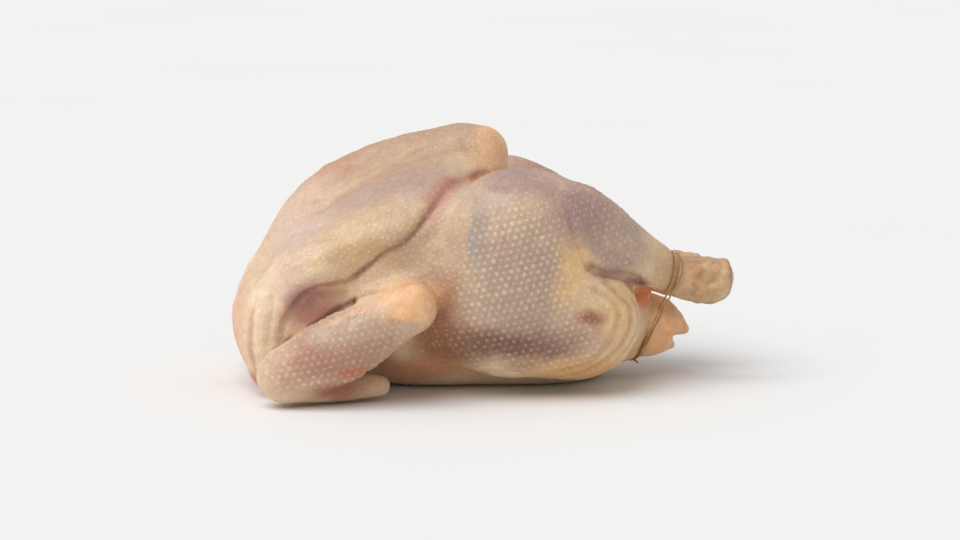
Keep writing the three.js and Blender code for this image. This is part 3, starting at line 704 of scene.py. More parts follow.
def painted(p):
    """Linear colours of the skin at points."""
    waver = wavering(p)
    colour = np.tile(linear(TONES["cream"]), (len(p), 1))
    for side in (NEAR, FAR):
        for on_leg, tone, strength, centre, radii in PATCHES:
            small = min(1, min(radii) / WAVER_FROM)
            share = strength * patch(beside(p + small * waver, side, on_leg), centre, radii)
            colour += share[:, None] * (linear(TONES[tone]) - colour)
        # streaks in creases lay painted shade into them, with the creases' own redness
        for on_leg, tone, strength, width, route in STREAKS:
            share = strength * band(beside(p + waver / 5, side, on_leg), route, width)
            colour += share[:, None] * (linear(TONES[tone]) - colour)
    colour += SCALY_SHARE * np.maximum(-scaly(p), 0)[:, None] * (linear(TONES["grey brown"]) - colour)
    # the skin along the tie is painted darker: painted shade beside the string, and skin pressed by it
    return colour + PRESSED_AND_SHADED_SHARE * tie_depth(p)[:, None] * (linear(TONES["amber"]) - colour)


skin_tints = painted(skin_points)

# The part's origin is in the middle of its box, a little off the bird's middle plane because one leg is
# tied further forward than the other.
box_middle = (np.array(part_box("chicken")[0]) + np.array(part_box("chicken")[1])) / 2
ORIGIN = (plain_middle - box_middle / MM) * (1, 1, 0)


def in_frame(points):
    """Millimetres on the bird to metres in the part's frame."""
    return (np.asarray(points) - ORIGIN) * MM


def new_piece(name, points, faces, material):
    """An object at the origin from points in mm and faces."""
    mesh = bpy.data.meshes.new(name)
    mesh.from_pydata(in_frame(points).tolist(), [], [list(map(int, face)) for face in faces])
    mesh.polygons.foreach_set("use_smooth", [True] * len(mesh.polygons))
    mesh.materials.append(material)
    piece = bpy.data.objects.new(name, mesh)
    bpy.context.collection.objects.link(piece)
    return piece


def add_colours(mesh, name, colours):
    rgba = np.ones((len(colours), 4), np.float32)
    rgba[:, :3] = colours
    mesh.color_attributes.new(name, "FLOAT_COLOR", "POINT").data.foreach_set("color", rgba.ravel())


def add_numbers(mesh, name, numbers):
    mesh.attributes.new(name, "FLOAT", "POINT").data.foreach_set("value", np.float32(numbers))


# ---- Skin material -----------------------------------------------------------------------------------
# Thin wet skin: its colour wanders over a few millimetres, fine blood vessels show through, and the surface
# has creases and pores finer than the mesh. The skin, its follicles and its cut edges share these effects.

class Tree:
    """A node tree with short calls for adding nodes and linking them."""

    def __init__(self, tree):
        self.tree = tree

    def node(self, kind, settings=None, **inputs):
        made = self.tree.nodes.new(kind)
        for name, value in (settings or {}).items():
            setattr(made, name, value)
        for name, value in inputs.items():
            self.feed(made.inputs[name.replace("_", " ")], value)
        return made

    def feed(self, socket, value):
        if isinstance(value, bpy.types.NodeSocket):
            self.tree.links.new(value, socket)
        else:
            socket.default_value = value

    def sum_of(self, operation, a, b=None):
        made = self.tree.nodes.new("ShaderNodeMath")
        made.operation = operation
        for socket, value in zip(made.inputs, (a, b)):
            if value is not None:
                self.feed(socket, value)
        return made.outputs[0]

    def mix(self, share, a, b, blend_type="MIX"):
        made = self.tree.nodes.new("ShaderNodeMix")
        made.data_type = "RGBA"
        made.blend_type = blend_type
        for socket, value in ((made.inputs[0], share), (made.inputs[6], a), (made.inputs[7], b)):
            self.feed(socket, value)
        return made.outputs[2]

    def ranged(self, value, low, high, to_low=0.0, to_high=1.0):
        made = self.node("ShaderNodeMapRange", {"interpolation_type": "SMOOTHSTEP"}, Value=value)
        for name, number in (("From Min", low), ("From Max", high), ("To Min", to_low), ("To Max", to_high)):
            made.inputs[name].default_value = number
        return made.outputs[0]


def new_group(name, inputs, outputs):
    """A shader node group; returns it with its tree, group input and group output."""
    group = bpy.data.node_groups.new(name, "ShaderNodeTree")
    for label, kind, value in inputs:
        group.interface.new_socket(label, in_out="INPUT", socket_type=kind).default_value = value
    for label, kind in outputs:
        group.interface.new_socket(label, in_out="OUTPUT", socket_type=kind)
    t = Tree(group)
    return group, t, t.node("NodeGroupInput").outputs, t.node("NodeGroupOutput").inputs


COLOUR, NUMBER = "NodeSocketColor", "NodeSocketFloat"

mottle, t, given, put = new_group(
    "Skin mottling",
    [("Tint", COLOUR, (0.8, 0.6, 0.4, 1)), ("Blush", COLOUR, (0.62, 0.28, 0.2, 1)), ("Amount", NUMBER, 0.5)],
    [("Color", COLOUR), ("Roughness", NUMBER)])
place = t.node("ShaderNodeTexCoord").outputs["Object"]
clouds = t.node("ShaderNodeTexNoise", Vector=place, Scale=70, Detail=4, Roughness=0.6).outputs[0]
curds = t.node("ShaderNodeTexNoise", Vector=place, Scale=210, Detail=2, Roughness=0.5).outputs[0]
specks = t.node("ShaderNodeTexNoise", Vector=place, Scale=420, Detail=3, Roughness=0.65).outputs[0]
blushed = t.mix(t.sum_of("MULTIPLY", t.ranged(clouds, 0.52, 0.78, 0, 0.35), given["Amount"]),
                given["Tint"], given["Blush"])
curdled = t.mix(t.sum_of("MULTIPLY", t.ranged(curds, 0.5, 0.68, 0, 0.3), given["Amount"]),
                blushed, given["Blush"])
fatter = t.mix(1.0, given["Tint"], (1.28, 1.22, 1.0, 1), "MULTIPLY")
fat = t.mix(t.sum_of("MULTIPLY", t.ranged(curds, 0.48, 0.32, 0, 1.0), given["Amount"]), curdled, fatter)
vessels = t.node("ShaderNodeTexNoise", {"noise_type": "RIDGED_MULTIFRACTAL"}, Vector=place, Scale=38,
                 Detail=5, Roughness=0.6).outputs[0]
veined = t.mix(t.sum_of("MULTIPLY", t.ranged(vessels, 0.75, 1.05, 0, 0.25), given["Amount"]),
               fat, (0.42, 0.16, 0.15, 1))
grained = t.mix(1.0, veined, t.node("ShaderNodeCombineColor",
                                    Red=t.ranged(specks, 0.3, 0.7, 0.93, 1.07),
                                    Green=t.ranged(specks, 0.3, 0.7, 0.91, 1.09),
                                    Blue=t.ranged(specks, 0.3, 0.7, 0.88, 1.12)).outputs[0], "MULTIPLY")
t.feed(put["Color"], grained)
t.feed(put["Roughness"], t.sum_of("ADD", t.ranged(specks, 0.35, 0.65, -0.06, 0.06),
                                  t.ranged(clouds, 0.35, 0.65, 0.06, -0.06)))

creasing, t, given, put = new_group(
    "Fine skin creases", [("Depth", NUMBER, 1.0)], [("Height", NUMBER)])
place = t.node("ShaderNodeTexCoord").outputs["Object"]
warp = t.node("ShaderNodeTexNoise", Vector=place, Scale=120, Detail=2).outputs["Color"]
bent = t.node("ShaderNodeMix", {"data_type": "VECTOR"})
for index, value in ((0, 0.006), (4, place), (5, warp)):
    t.feed(bent.inputs[index], value)
cells = t.node("ShaderNodeTexVoronoi", {"feature": "SMOOTH_F1"}, Vector=bent.outputs[1], Scale=620,
               Smoothness=0.6).outputs["Distance"]
wrinkles = t.node("ShaderNodeTexNoise", Vector=place, Scale=330, Detail=4, Roughness=0.6).outputs[0]
t.feed(put["Height"], t.sum_of("MULTIPLY", given["Depth"],
                               t.sum_of("ADD", t.sum_of("MULTIPLY", cells, 0.5), wrinkles)))


def effect(t, group, **inputs):
    made = t.node("ShaderNodeGroup", {"node_tree": group})
    for name, value in inputs.items():
        t.feed(made.inputs[name], value)
    return made.outputs


def new_material(name):
    material = bpy.data.materials.new(name)
    material.use_nodes = True
    t = Tree(material.node_tree)
    return material, t, material.node_tree.nodes["Principled BSDF"]


SKIN_ROUGHNESS = 0.46


def finish_as_skin(t, shader, tint, depth=1.0, scatter=0.2):
    """Wires wet skin: mottled colour, uneven gloss, fine creases and a little light through it."""
    look = effect(t, mottle, Tint=tint)
    t.feed(shader.inputs["Base Color"], look["Color"])
    t.feed(shader.inputs["Roughness"], t.sum_of("ADD", look["Roughness"], SKIN_ROUGHNESS))
    height = effect(t, creasing, Depth=depth)["Height"]
    raised = t.node("ShaderNodeBump", Strength=0.5, Distance=0.0006, Height=height)
    t.feed(shader.inputs["Normal"], raised.outputs[0])
    shader.inputs["Subsurface Weight"].default_value = scatter
    shader.inputs["Subsurface Radius"].default_value = (1.0, 0.42, 0.25)
    shader.inputs["Subsurface Scale"].default_value = 0.003
    shader.inputs["IOR"].default_value = 1.42
    shader.inputs["Coat Weight"].default_value = 0.12
    shader.inputs["Coat Roughness"].default_value = 0.25


skin_material, t, shader = new_material("Wet chicken skin")
finish_as_skin(t, shader, t.node("ShaderNodeVertexColor", {"layer_name": "tint"}).outputs[0])

# Each four-sided face is cut along its shorter diagonal.
first = np.linalg.norm(skin_points[skin_quads[:, 0]] - skin_points[skin_quads[:, 2]], axis=1)
second = np.linalg.norm(skin_points[skin_quads[:, 1]] - skin_points[skin_quads[:, 3]], axis=1)
turned_quads = np.where((first > second)[:, None], np.roll(skin_quads, -1, 1), skin_quads)
skin_faces = np.concatenate([turned_quads[:, [0, 1, 2]], turned_quads[:, [0, 2, 3]]])

skin = new_piece("skin", skin_points, skin_faces, skin_material)
add_colours(skin.data, "tint", skin_tints)
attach(skin, "root")
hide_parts("chicken")


# ---- Follicles ---------------------------------------------------------------------------------------
# Where feathers were plucked, the skin stands up in rows of small pale bumps: large and far apart on the
# legs and wings, small and close on the breast and neck, and none on the shanks and the tail.

skin_tree = BVHTree.FromPolygons(skin_points.tolist(), skin_faces.tolist())
skin_normals = normals_of(skin_points, skin_quads)

# Each zone of bumps: whether it is on a leg, how bold they are, centre and radii. Later zones win.
DOT_ZONES = [
    (True, 1.0, (10, 84, 64), (31, 28, 46)), # outside of the thigh
    (True, 0.75, (14, 76, 30), (44, 30, 22)), # underside of the thigh
    (True, 0.6, (58, 52, 90), (36, 34, 30)), # drumstick
    (False, 1.0, (-84, 86, 26), (44, 18, 16)), # lower half of the wing
    (False, 0.6, (-84, 84, 40), (44, 16, 18)), # upper half of the wing
    (False, 0.35, (-72, 64, 84), (56, 20, 26)), # fat along the breast's lower edge
    (False, 0.0, (-60, 36, 115), (46, 26, 18)), # thin skin over breast meat
    (True, 0.2, (47, 80, 74), (12, 20, 24)), # fat behind the thigh
    (True, 0.2, (72, 66, 42), (14, 22, 24)), # folds behind the thigh
    (True, 0.3, (84, 36, 68), (14, 20, 18)), # thin part of the drumstick
    (False, 0.08, (-43, 84, 56), (12, 16, 12)), # elbow
]
# Each zone without bumps: whether it is on a leg, centre, radii and softness of its edge.
BARE_ZONES = [
    (True, (118, 22, 57), (26, 22, 20), 0.1), # shank
    (False, (100, 8, 30), (22, 24, 26), 0.1), # tail
    (False, (-98, 62, 50), (20, 12, 13), 0.2), # hollow above the wing
    (False, (84, 0, 56), (24, 20, 20), 0.1), # vent
]
BOLD = 0.45 # bumps bolder than this stand in rows
BREAST_FROM = 60 # mm: plain follicles above this height are the breast's, and those below it the back's
PLAIN_BOLDNESS = 0.12


def boldness(p):
    """How strongly the follicles stand out at points: 1 outside the thigh, near 0 on the breast."""
    bold = np.full(len(p), PLAIN_BOLDNESS, np.float32)
    for side in (NEAR, FAR):
        for on_leg, strength, centre, radii in DOT_ZONES:
            bold += (strength - bold) * patch(beside(p, side, on_leg), centre, radii, 0.3)
    return bold


def bare(p):
    """1 where no follicles show."""
    share = np.zeros(len(p), np.float32)
    for side in (NEAR, FAR):
        for on_leg, centre, radii, edge in BARE_ZONES:
            share = np.maximum(share, patch(beside(p, side, on_leg), centre, radii, edge))
    return share


rng = np.random.default_rng(11)


def scattered_on_skin(count):
    """Random places spread evenly over the skin's area."""
    a, b, c, d = (skin_points[skin_quads[:, k]] for k in range(4))
    area = np.linalg.norm(np.cross(c - a, d - b), axis=1)
    face = rng.choice(len(area), count, p=area / area.sum())
    u, v = rng.random((2, count, 1))
    return (a[face] * (1 - u) + b[face] * u) * (1 - v) + (d[face] * (1 - u) + c[face] * u) * v


ROW_PITCH = 3.95 # mm from one bump to the next
ROW_LEAN = 72 # degrees from the length of the bird
ROW_UNEVENNESS = 0.3 # mm
MIDDLE_HEIGHT = 60
HALF_LENGTH, HALF_WIDTH, TOP = 135, 120, 140
LEAST_FACING = 0.45 # rows stop where the skin turns further away from the side


def rows_on_side(side):
    """Staggered rows, as they run down the outside of a leg, laid onto the skin from beside it."""
    column, row = np.meshgrid(np.arange(-70, 70), np.arange(-70, 70))
    along = (column + 0.5 * (row % 2)) * ROW_PITCH
    across = row * ROW_PITCH * 0.866
    turn = math.radians(ROW_LEAN)
    x = along * math.cos(turn) - across * math.sin(turn)
    z = along * math.sin(turn) + across * math.cos(turn) + MIDDLE_HEIGHT
    kept = (np.abs(x) < HALF_LENGTH) & (z > 1) & (z < TOP)
    found = []
    for px, pz in zip(x[kept], z[kept]):
        place, normal, _, _ = skin_tree.ray_cast(Vector((px, side * HALF_WIDTH, pz)), Vector((0, -side, 0)))
        if place is not None and normal.y * side > LEAST_FACING:
            found.append(place)
    return np.array(found) + rng.normal(0, ROW_UNEVENNESS, (len(found), 3))


CELL = 6.0 # mm, wider than any spacing


def thinned(candidates, spacing):
    """Keeps each candidate that isn't too near one kept before it."""
    kept = []
    boxes = {}
    around = list(itertools.product((-1, 0, 1), repeat=3))
    for i, (p, s) in enumerate(zip(candidates.tolist(), spacing.tolist())):
        x, y, z = (int(v // CELL) for v in p)
        near = [q for dx, dy, dz in around for q in boxes.get((x + dx, y + dy, z + dz), ())]
        if all((p[0] - q[0]) ** 2 + (p[1] - q[1]) ** 2 + (p[2] - q[2]) ** 2 >= s * s for q in near):
            boxes.setdefault((x, y, z), []).append(p)
            kept.append(i)
    return candidates[kept]


def pitch_at(p):
    """Wanted distance in mm from a bump to its neighbours."""
    return 2.75 + 1.2 * smoothstep(0.3, 0.7, boldness(p))


TRIES = 46000 # random places tried between the rows
CLOSEST_IN_ROWS, CLOSEST_ELSEWHERE = 0.7, 0.88 # shares of the wanted distance

legs_and_wings = np.concatenate([rows_on_side(-1), rows_on_side(1)])
legs_and_wings = legs_and_wings[boldness(legs_and_wings) > BOLD]
filling = scattered_on_skin(TRIES)
candidates = np.concatenate([legs_and_wings, filling])
closest = np.r_[np.full(len(legs_and_wings), CLOSEST_IN_ROWS), np.full(len(filling), CLOSEST_ELSEWHERE)]
follicles = thinned(candidates, pitch_at(candidates) * closest)


def spread_out(points, rounds):
    """Moves crowded points apart over the skin."""
    for _ in range(rounds):
        tree = KDTree(len(points))
        for i, p in enumerate(points):
            tree.insert(p, i)
        tree.balance()
        wanted = pitch_at(points)
        moved = points.copy()
        for i, p in enumerate(points):
            for q, j, d in tree.find_range(p, wanted[i]):
                if j != i and d > 1e-6:
                    moved[i] += 0.3 * (wanted[i] - d) * (p - np.array(q)) / d
        points = np.array([skin_tree.find_nearest(p)[0] for p in moved])
    return points


follicles = spread_out(follicles, 3)
follicles = follicles[(bare(follicles) < 0.5) & (follicles[:, 2] > 0.6)]
skin_index = KDTree(len(skin_points))
for i, p in enumerate(skin_points):
    skin_index.insert(p, i)
skin_index.balance()
under = np.array([skin_index.find(p)[1] for p in follicles])


def dome_builder():
    """Geometry Nodes: a low round bump at each point, laid onto the skin and coloured as the skin is there.

    Sunk is the share of its height that lies under the skin.
    """
    tree = bpy.data.node_groups.new("Follicle bumps", "GeometryNodeTree")
    tree.is_modifier = True
    for label, kind in (("Geometry", "Geometry"), ("Skin", "Object"), ("Sides", "Int"), ("Rings", "Int"),
                        ("Sunk", "Float"), ("Material", "Material")):
        tree.interface.new_socket(label, in_out="INPUT", socket_type="NodeSocket" + kind)
    tree.interface.new_socket("Geometry", in_out="OUTPUT", socket_type="NodeSocketGeometry")
    t = Tree(tree)
    given = t.node("NodeGroupInput").outputs

    def stored(name, kind):
        return t.node("GeometryNodeInputNamedAttribute", {"data_type": kind}, Name=name).outputs[0]

    cone = t.node("GeometryNodeMeshCone", {"fill_type": "NGON"}, Vertices=given["Sides"],
                  Side_Segments=given["Rings"], Radius_Top=0.0, Radius_Bottom=1.0, Depth=1.0)
    place = t.node("ShaderNodeSeparateXYZ", Vector=t.node("GeometryNodeInputPosition").outputs[0])
    out = t.sum_of("SQRT", t.sum_of("ADD", t.sum_of("POWER", place.outputs[0], 2.0),
                                    t.sum_of("POWER", place.outputs[1], 2.0)))
    turned_by = t.sum_of("MULTIPLY", out, math.pi / 2)
    swell = t.sum_of("POWER", t.sum_of("COSINE", turned_by), 2.0)
    marked = t.node("GeometryNodeStoreNamedAttribute", {"data_type": "FLOAT", "domain": "POINT"},
                    Geometry=cone.outputs["Mesh"], Name="top", Value=swell)
    widened = t.sum_of("DIVIDE", t.sum_of("SINE", turned_by), t.sum_of("MAXIMUM", out, 0.001))
    flat = t.node("GeometryNodeSetPosition", Geometry=marked.outputs[0],
                  Position=t.node("ShaderNodeCombineXYZ",
                                  X=t.sum_of("MULTIPLY", place.outputs[0], widened),
                                  Y=t.sum_of("MULTIPLY", place.outputs[1], widened)).outputs[0])
    facing = t.node("ShaderNodeSeparateXYZ", Vector=t.node("GeometryNodeInputNormal").outputs[0]).outputs[2]
    smooth = t.node("GeometryNodeSetShadeSmooth", Geometry=flat.outputs[0], Shade_Smooth=True,
                    Selection=t.node("FunctionNodeCompare", {"operation": "GREATER_THAN"}, A=facing,
                                     B=0.0).outputs[0])

    turn = t.node("FunctionNodeAlignRotationToVector", {"axis": "Z"}, Vector=stored("facing", "FLOAT_VECTOR"))
    spun = t.node("FunctionNodeRotateRotation", {"rotation_space": "LOCAL"}, Rotation=turn.outputs[0],
                  Rotate_By=t.node("FunctionNodeAxisAngleToRotation",
                                   Angle=stored("spin", "FLOAT")).outputs[0])
    placed = t.node("GeometryNodeInstanceOnPoints", Points=given["Geometry"], Instance=smooth.outputs[0],
                    Rotation=spun.outputs[0], Scale=stored("size", "FLOAT_VECTOR"))
    real = t.node("GeometryNodeRealizeInstances", Geometry=placed.outputs[0])

    skin_shape = t.node("GeometryNodeObjectInfo", Object=given["Skin"]).outputs["Geometry"]
    foot = t.node("GeometryNodeProximity", {"target_element": "FACES"},
                  Geometry=skin_shape).outputs["Position"]
    rise = t.sum_of("MULTIPLY", t.sum_of("SUBTRACT", stored("top", "FLOAT"), given["Sunk"]),
                    stored("rise", "FLOAT"))
    above = t.node("ShaderNodeVectorMath", {"operation": "SCALE"}, Vector=stored("facing", "FLOAT_VECTOR"),
                   Scale=rise)
    laid = t.node("GeometryNodeSetPosition", Geometry=real.outputs[0], Position=foot, Offset=above.outputs[0])
    own = t.node("GeometryNodeSampleNearestSurface", {"data_type": "FLOAT_COLOR"}, Mesh=skin_shape,
                 Value=stored("tint", "FLOAT_COLOR"))
    tinted = t.node("GeometryNodeStoreNamedAttribute", {"data_type": "FLOAT_COLOR", "domain": "POINT"},
                    Geometry=laid.outputs[0], Name="tint", Value=own.outputs["Value"])
    dressed = t.node("GeometryNodeSetMaterial", Geometry=tinted.outputs[0], Material=given["Material"])
    t.feed(t.node("NodeGroupOutput").inputs[0], dressed.outputs[0])
    return tree


def set_inputs(modifier, **values):
    for item in modifier.node_group.interface.items_tree:
        if item.item_type == "SOCKET" and item.in_out == "INPUT" and item.name in values:
            modifier[item.identifier] = values[item.name]


def bake(piece):
    """Applies the piece's modifiers, which leaves a plain mesh."""
    graph = bpy.context.evaluated_depsgraph_get()
    mesh = bpy.data.meshes.new_from_object(piece.evaluated_get(graph))
    piece.modifiers.clear()
    piece.data = mesh
    mesh.name = piece.name


follicle_material, t, shader = new_material("Follicle bumps")
tint, pale, top, paleness = (t.node("ShaderNodeAttribute", {"attribute_name": name}).outputs
                             for name in ("tint", "pale", "top", "paleness"))
share = t.sum_of("MULTIPLY", t.ranged(top["Fac"], 0.1, 0.9), paleness["Fac"])
finish_as_skin(t, shader, t.mix(share, tint["Color"], pale["Color"]), depth=0.5, scatter=0.0)
bumps = dome_builder()

# Each bump's half-widths, height and paleness. Heights are in mm, and the edge of the wing has taller ones.
bold = boldness(follicles)
uneven = 1 + 0.11 * rng.standard_normal((len(bold), 1))
size = np.stack([1.04 + 0.5 * bold] * 2 + [np.ones(len(bold))], -1) * uneven
size[:, 0] *= 1 + 0.12 * rng.standard_normal(len(bold))
BOLDNESS_STEPS = (0, PLAIN_BOLDNESS, 1)
rise = np.interp(bold, BOLDNESS_STEPS, (0.05, 0.16, 0.42)) * uneven[:, 0]
rise += 0.6 * np.max([band(beside(follicles, side, False), ARM_EDGE, 2.6) for side in (NEAR, FAR)], 0)
paleness = np.interp(bold, BOLDNESS_STEPS, (0.03, 0.18, 0.46))
paleness *= np.clip(1 + 0.3 * rng.standard_normal(len(bold)), 0.2, 1.5)
PALE_DOT, YELLOW_DOT = linear("f0dac0"), linear("f6dca8")
DOT_SHARE = 0.35 # the rest is the skin's own colour, made lighter


def add_follicles(name, chosen, sides, rings):
    """One piece of the chosen follicles, each a dome with so many sides and rings."""
    points = follicles[chosen]
    mesh = bpy.data.meshes.new(name)
    mesh.from_pydata(in_frame(points).tolist(), [], [])
    for label, values in (("facing", skin_normals[under[chosen]]), ("size", size[chosen] * MM)):
        kept = mesh.attributes.new(label, "FLOAT_VECTOR", "POINT")
        kept.data.foreach_set("vector", np.float32(values).ravel())
    add_numbers(mesh, "spin", rng.random(len(points)) * 2 * math.pi)
    add_numbers(mesh, "rise", rise[chosen] * MM)
    add_numbers(mesh, "paleness", paleness[chosen])
    own = skin_tints[under[chosen]]
    dot = YELLOW_DOT + smoothstep(0.3, 0.6, bold[chosen])[:, None] * (PALE_DOT - YELLOW_DOT)
    add_colours(mesh, "pale", DOT_SHARE * dot + (1 - DOT_SHARE) * np.minimum(1.4 * own, 0.9))
    piece = bpy.data.objects.new(name, mesh)
    bpy.context.collection.objects.link(piece)
    modifier = piece.modifiers.new("bumps", "NODES")
    modifier.node_group = bumps
    sunk = math.cos(math.pi / 2 * (rings - 1) / rings) ** 2
    set_inputs(modifier, Skin=skin, Sides=sides, Rings=rings, Sunk=sunk, Material=follicle_material)
    bake(piece)
    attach(piece, "root")


add_follicles("follicles_legs_and_wings", bold > BOLD, 8, 4)
upper = follicles[:, 2] > BREAST_FROM
add_follicles("follicles_breast", (bold <= BOLD) & upper, 7, 3)
add_follicles("follicles_back", (bold <= BOLD) & ~upper, 7, 3)


# ---- Cut joints --------------------------------------------------------------------------------------
# Each shank was cut through the hock joint, so its end shows two pearly knuckles of cartilage in a ring of
# red flesh and skin. Each knuckle pair is meshed like the skin, on a finer grid.

GRISTLE_STEP = 0.55
GRISTLE_REACH = 9 # mm from the middle of a joint to the edge of its grid
GRISTLE_MIDDLE = (133.1, 20.2, 57.2)


def knuckles(p, side):
    q = beside(np.asarray(p, np.float32), side, True) - np.float32(GRISTLE_MIDDLE)
    outer = ellipsoid(q, (0, 3.9, 0.5), (3.6, 4.4, 6.4))
    inner = ellipsoid(q, (-0.2, -4, -0.3), (3.4, 4.2, 5.8))
    d = blend(outer, inner, 2.2)
    d = carve(d, ellipsoid(q, (3.6, 0, -4.4), (2.4, 1.7, 2.2)), 0.8)
    return d - 0.18 * np.sin(q[..., 1] * 2.1 + 1) * np.sin(q[..., 2] * 1.9)


gristle_parts = []
for side in (NEAR, FAR):
    middle = (np.float32(GRISTLE_MIDDLE) + (FAR_LEG_SHIFT if side is FAR else 0)) * side
    low, high = middle - GRISTLE_REACH, middle + GRISTLE_REACH

    def field(p):
        return knuckles(p, side)

    points, quads = surface_net(separated(sampled(field, low, high, GRISTLE_STEP)), low, GRISTLE_STEP)
    gristle_parts.append((settled(field, points), quads))

gristle_material, t, shader = new_material("Pearly gristle")
place = t.node("ShaderNodeTexCoord").outputs["Object"]
cloudy = t.node("ShaderNodeTexNoise", Vector=place, Scale=260, Detail=3).outputs[0]
bloody = t.node("ShaderNodeTexNoise", Vector=place, Scale=150, Detail=4, Roughness=0.7).outputs[0]
PEARL_PINK, PEARL_GREY, BLOOD = (0.6, 0.44, 0.34, 1), (0.52, 0.47, 0.45, 1), (0.4, 0.1, 0.07, 1)
pearl = t.mix(t.ranged(cloudy, 0.35, 0.65), PEARL_PINK, PEARL_GREY)
t.feed(shader.inputs["Base Color"], t.mix(t.ranged(bloody, 0.52, 0.66), pearl, BLOOD))
t.feed(shader.inputs["Roughness"], t.ranged(cloudy, 0.3, 0.7, 0.22, 0.4))
raised = t.node("ShaderNodeBump", Strength=0.4, Distance=0.0004, Height=bloody)
t.feed(shader.inputs["Normal"], raised.outputs[0])
shader.inputs["Coat Weight"].default_value = 0.3
shader.inputs["Coat Roughness"].default_value = 0.15


def joined(parts):
    """Points and faces of several parts in one list each."""
    points, faces, start = [], [], 0
    for some, loops in parts:
        points.append(some)
        faces += [tuple(start + v for v in loop) for loop in loops]
        start += len(some)
    return np.concatenate(points), faces


gristle = new_piece("cut_joints", *joined(gristle_parts), gristle_material)
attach(gristle, "root")


# ---- The elastic string ------------------------------------------------------------------------------
# The string's two turns, half sunk in the skin, and its knot under the tail with two short ends.

string_material, t, shader = new_material("Amber elastic")
place = t.node("ShaderNodeTexCoord").outputs["Object"]
streaks = t.node("ShaderNodeTexNoise", Vector=place, Scale=300, Detail=3).outputs[0]
DARK_AMBER, LIGHT_AMBER = (0.34, 0.18, 0.06, 1), (0.56, 0.36, 0.14, 1)
t.feed(shader.inputs["Base Color"], t.mix(t.ranged(streaks, 0.3, 0.7), DARK_AMBER, LIGHT_AMBER))
t.feed(shader.inputs["Roughness"], t.ranged(streaks, 0.3, 0.7, 0.35, 0.55))
raised = t.node("ShaderNodeBump", Strength=0.4, Distance=0.0002, Height=streaks)
t.feed(shader.inputs["Normal"], raised.outputs[0])


def tube(route, radius, sides=10, closed=False):
    """Points and faces of a round string along a route, with flat caps at its ends where it isn't closed."""
    route = np.asarray(route, float)
    count = len(route)
    ahead = np.roll(route, -1, 0) - np.roll(route, 1, 0)
    if not closed:
        ahead[0], ahead[-1] = route[1] - route[0], route[-1] - route[-2]
    ahead /= np.linalg.norm(ahead, axis=1, keepdims=True)
    side = np.cross(ahead[0], (0.3, 0.5, 0.8))
    points = []
    for p, forward in zip(route, ahead):
        side = side - forward * (side @ forward)
        side /= np.linalg.norm(side)
        up = np.cross(forward, side)
        angle = np.arange(sides) * 2 * math.pi / sides
        points.append(p + radius * (np.cos(angle)[:, None] * side + np.sin(angle)[:, None] * up))
    faces = []
    for i in range(count if closed else count - 1):
        j = (i + 1) % count
        for k in range(sides):
            m = (k + 1) % sides
            faces.append((i * sides + k, i * sides + m, j * sides + m, j * sides + k))
    if not closed:
        faces += [tuple(range(sides))[::-1], tuple((count - 1) * sides + k for k in range(sides))]
    return np.concatenate(points), faces


string_parts = [tube(route[:-1], STRING_RADIUS, closed=True) for route in tie_routes]
knot = (tie_routes[0][0] + tie_routes[1][0]) / 2
KNOT_SIZE, KNOT_DEPTH, KNOT_RADIUS = 0.42, 0.55, 0.5
loop_angle = np.linspace(0, 2 * math.pi, 40, endpoint=False)
trefoil = np.stack([KNOT_SIZE * (np.sin(loop_angle) + 2 * np.sin(2 * loop_angle)),
                    KNOT_SIZE * (np.cos(loop_angle) - 2 * np.cos(2 * loop_angle)),
                    -KNOT_DEPTH * np.sin(3 * loop_angle)], -1)
string_parts.append(tube(knot + trefoil + (0, 0, -0.5), KNOT_RADIUS, 8, closed=True))
for way in (-1, 1):
    t_end = np.linspace(0, 1, 8)
    end = np.stack([0.6 + 2.4 * t_end, way * (0.5 + 4.2 * t_end), -0.6 - 1.2 * t_end**2], -1)
    string_parts.append(tube(knot + end, STRING_RADIUS, 8))
string = new_piece("leg_string", *joined(string_parts), string_material)
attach(string, "root")
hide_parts("leg_tie")


# ---- Floor, light and camera -------------------------------------------------------------------------
# A pale floor just under the bird, a white sky and a broad soft light from above. The camera is on the
# bird's right side, slightly above it and a little nearer its neck.

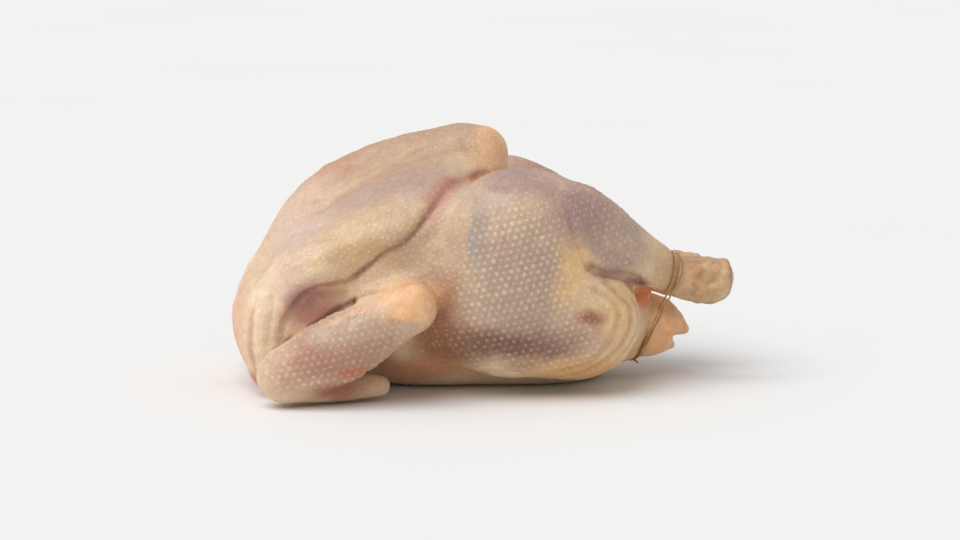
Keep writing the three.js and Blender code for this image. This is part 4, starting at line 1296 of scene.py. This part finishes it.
FLOOR_REACH = 4000 # mm
FLOOR_HEIGHT = -0.4 # mm
floor_material, t, shader = new_material("Pale floor")
place = t.node("ShaderNodeTexCoord").outputs["Object"]
t.feed(shader.inputs["Base Color"], t.mix(t.node("ShaderNodeTexNoise", Vector=place, Scale=3).outputs[0],
                                          (0.82, 0.82, 0.82, 1), (0.86, 0.86, 0.85, 1)))
shader.inputs["Roughness"].default_value = 0.8
floor_corners = [(FLOOR_REACH * x, FLOOR_REACH * y, FLOOR_HEIGHT)
                 for x, y in ((-1, -1), (1, -1), (1, 1), (-1, 1))]
floor = new_piece("floor", floor_corners, [(0, 1, 2, 3)], floor_material)

world = bpy.data.worlds.new("Studio")
bpy.context.scene.world = world
world.use_nodes = True
world.node_tree.nodes["Background"].inputs["Color"].default_value = (1, 1, 1, 1)
world.node_tree.nodes["Background"].inputs["Strength"].default_value = 0.5

overhead = bpy.data.lights.new("overhead softbox", "SUN")
overhead.energy = 2.2
overhead.angle = math.radians(55)
lamp = bpy.data.objects.new("overhead softbox", overhead)
bpy.context.collection.objects.link(lamp)
lamp.rotation_euler = Vector((-0.6, -0.5, 1.2)).to_track_quat("Z", "Y").to_euler()

CAMERA_AZIMUTH, CAMERA_ELEVATION = math.radians(-6), math.radians(9)
CAMERA_DISTANCE = 1.7
CAMERA_TARGET = Vector((0.0003, 0, 0.06))
SENSOR_WIDTH = 36 # mm
PICTURE_WIDTH = 960 # pixels
PIXEL = 0.00055 # metres at the target
back = Vector((math.sin(CAMERA_AZIMUTH) * math.cos(CAMERA_ELEVATION),
               -math.cos(CAMERA_AZIMUTH) * math.cos(CAMERA_ELEVATION), math.sin(CAMERA_ELEVATION)))
camera_data = bpy.data.cameras.new("camera")
camera_data.sensor_width = SENSOR_WIDTH
camera_data.lens = SENSOR_WIDTH * CAMERA_DISTANCE / (PIXEL * PICTURE_WIDTH)
camera = bpy.data.objects.new("camera", camera_data)
bpy.context.collection.objects.link(camera)
camera.location = CAMERA_TARGET + back * CAMERA_DISTANCE
camera.rotation_euler = (-back).to_track_quat("-Z", "Y").to_euler()
bpy.context.scene.camera = camera
bpy.context.scene.view_settings.view_transform = "Standard"
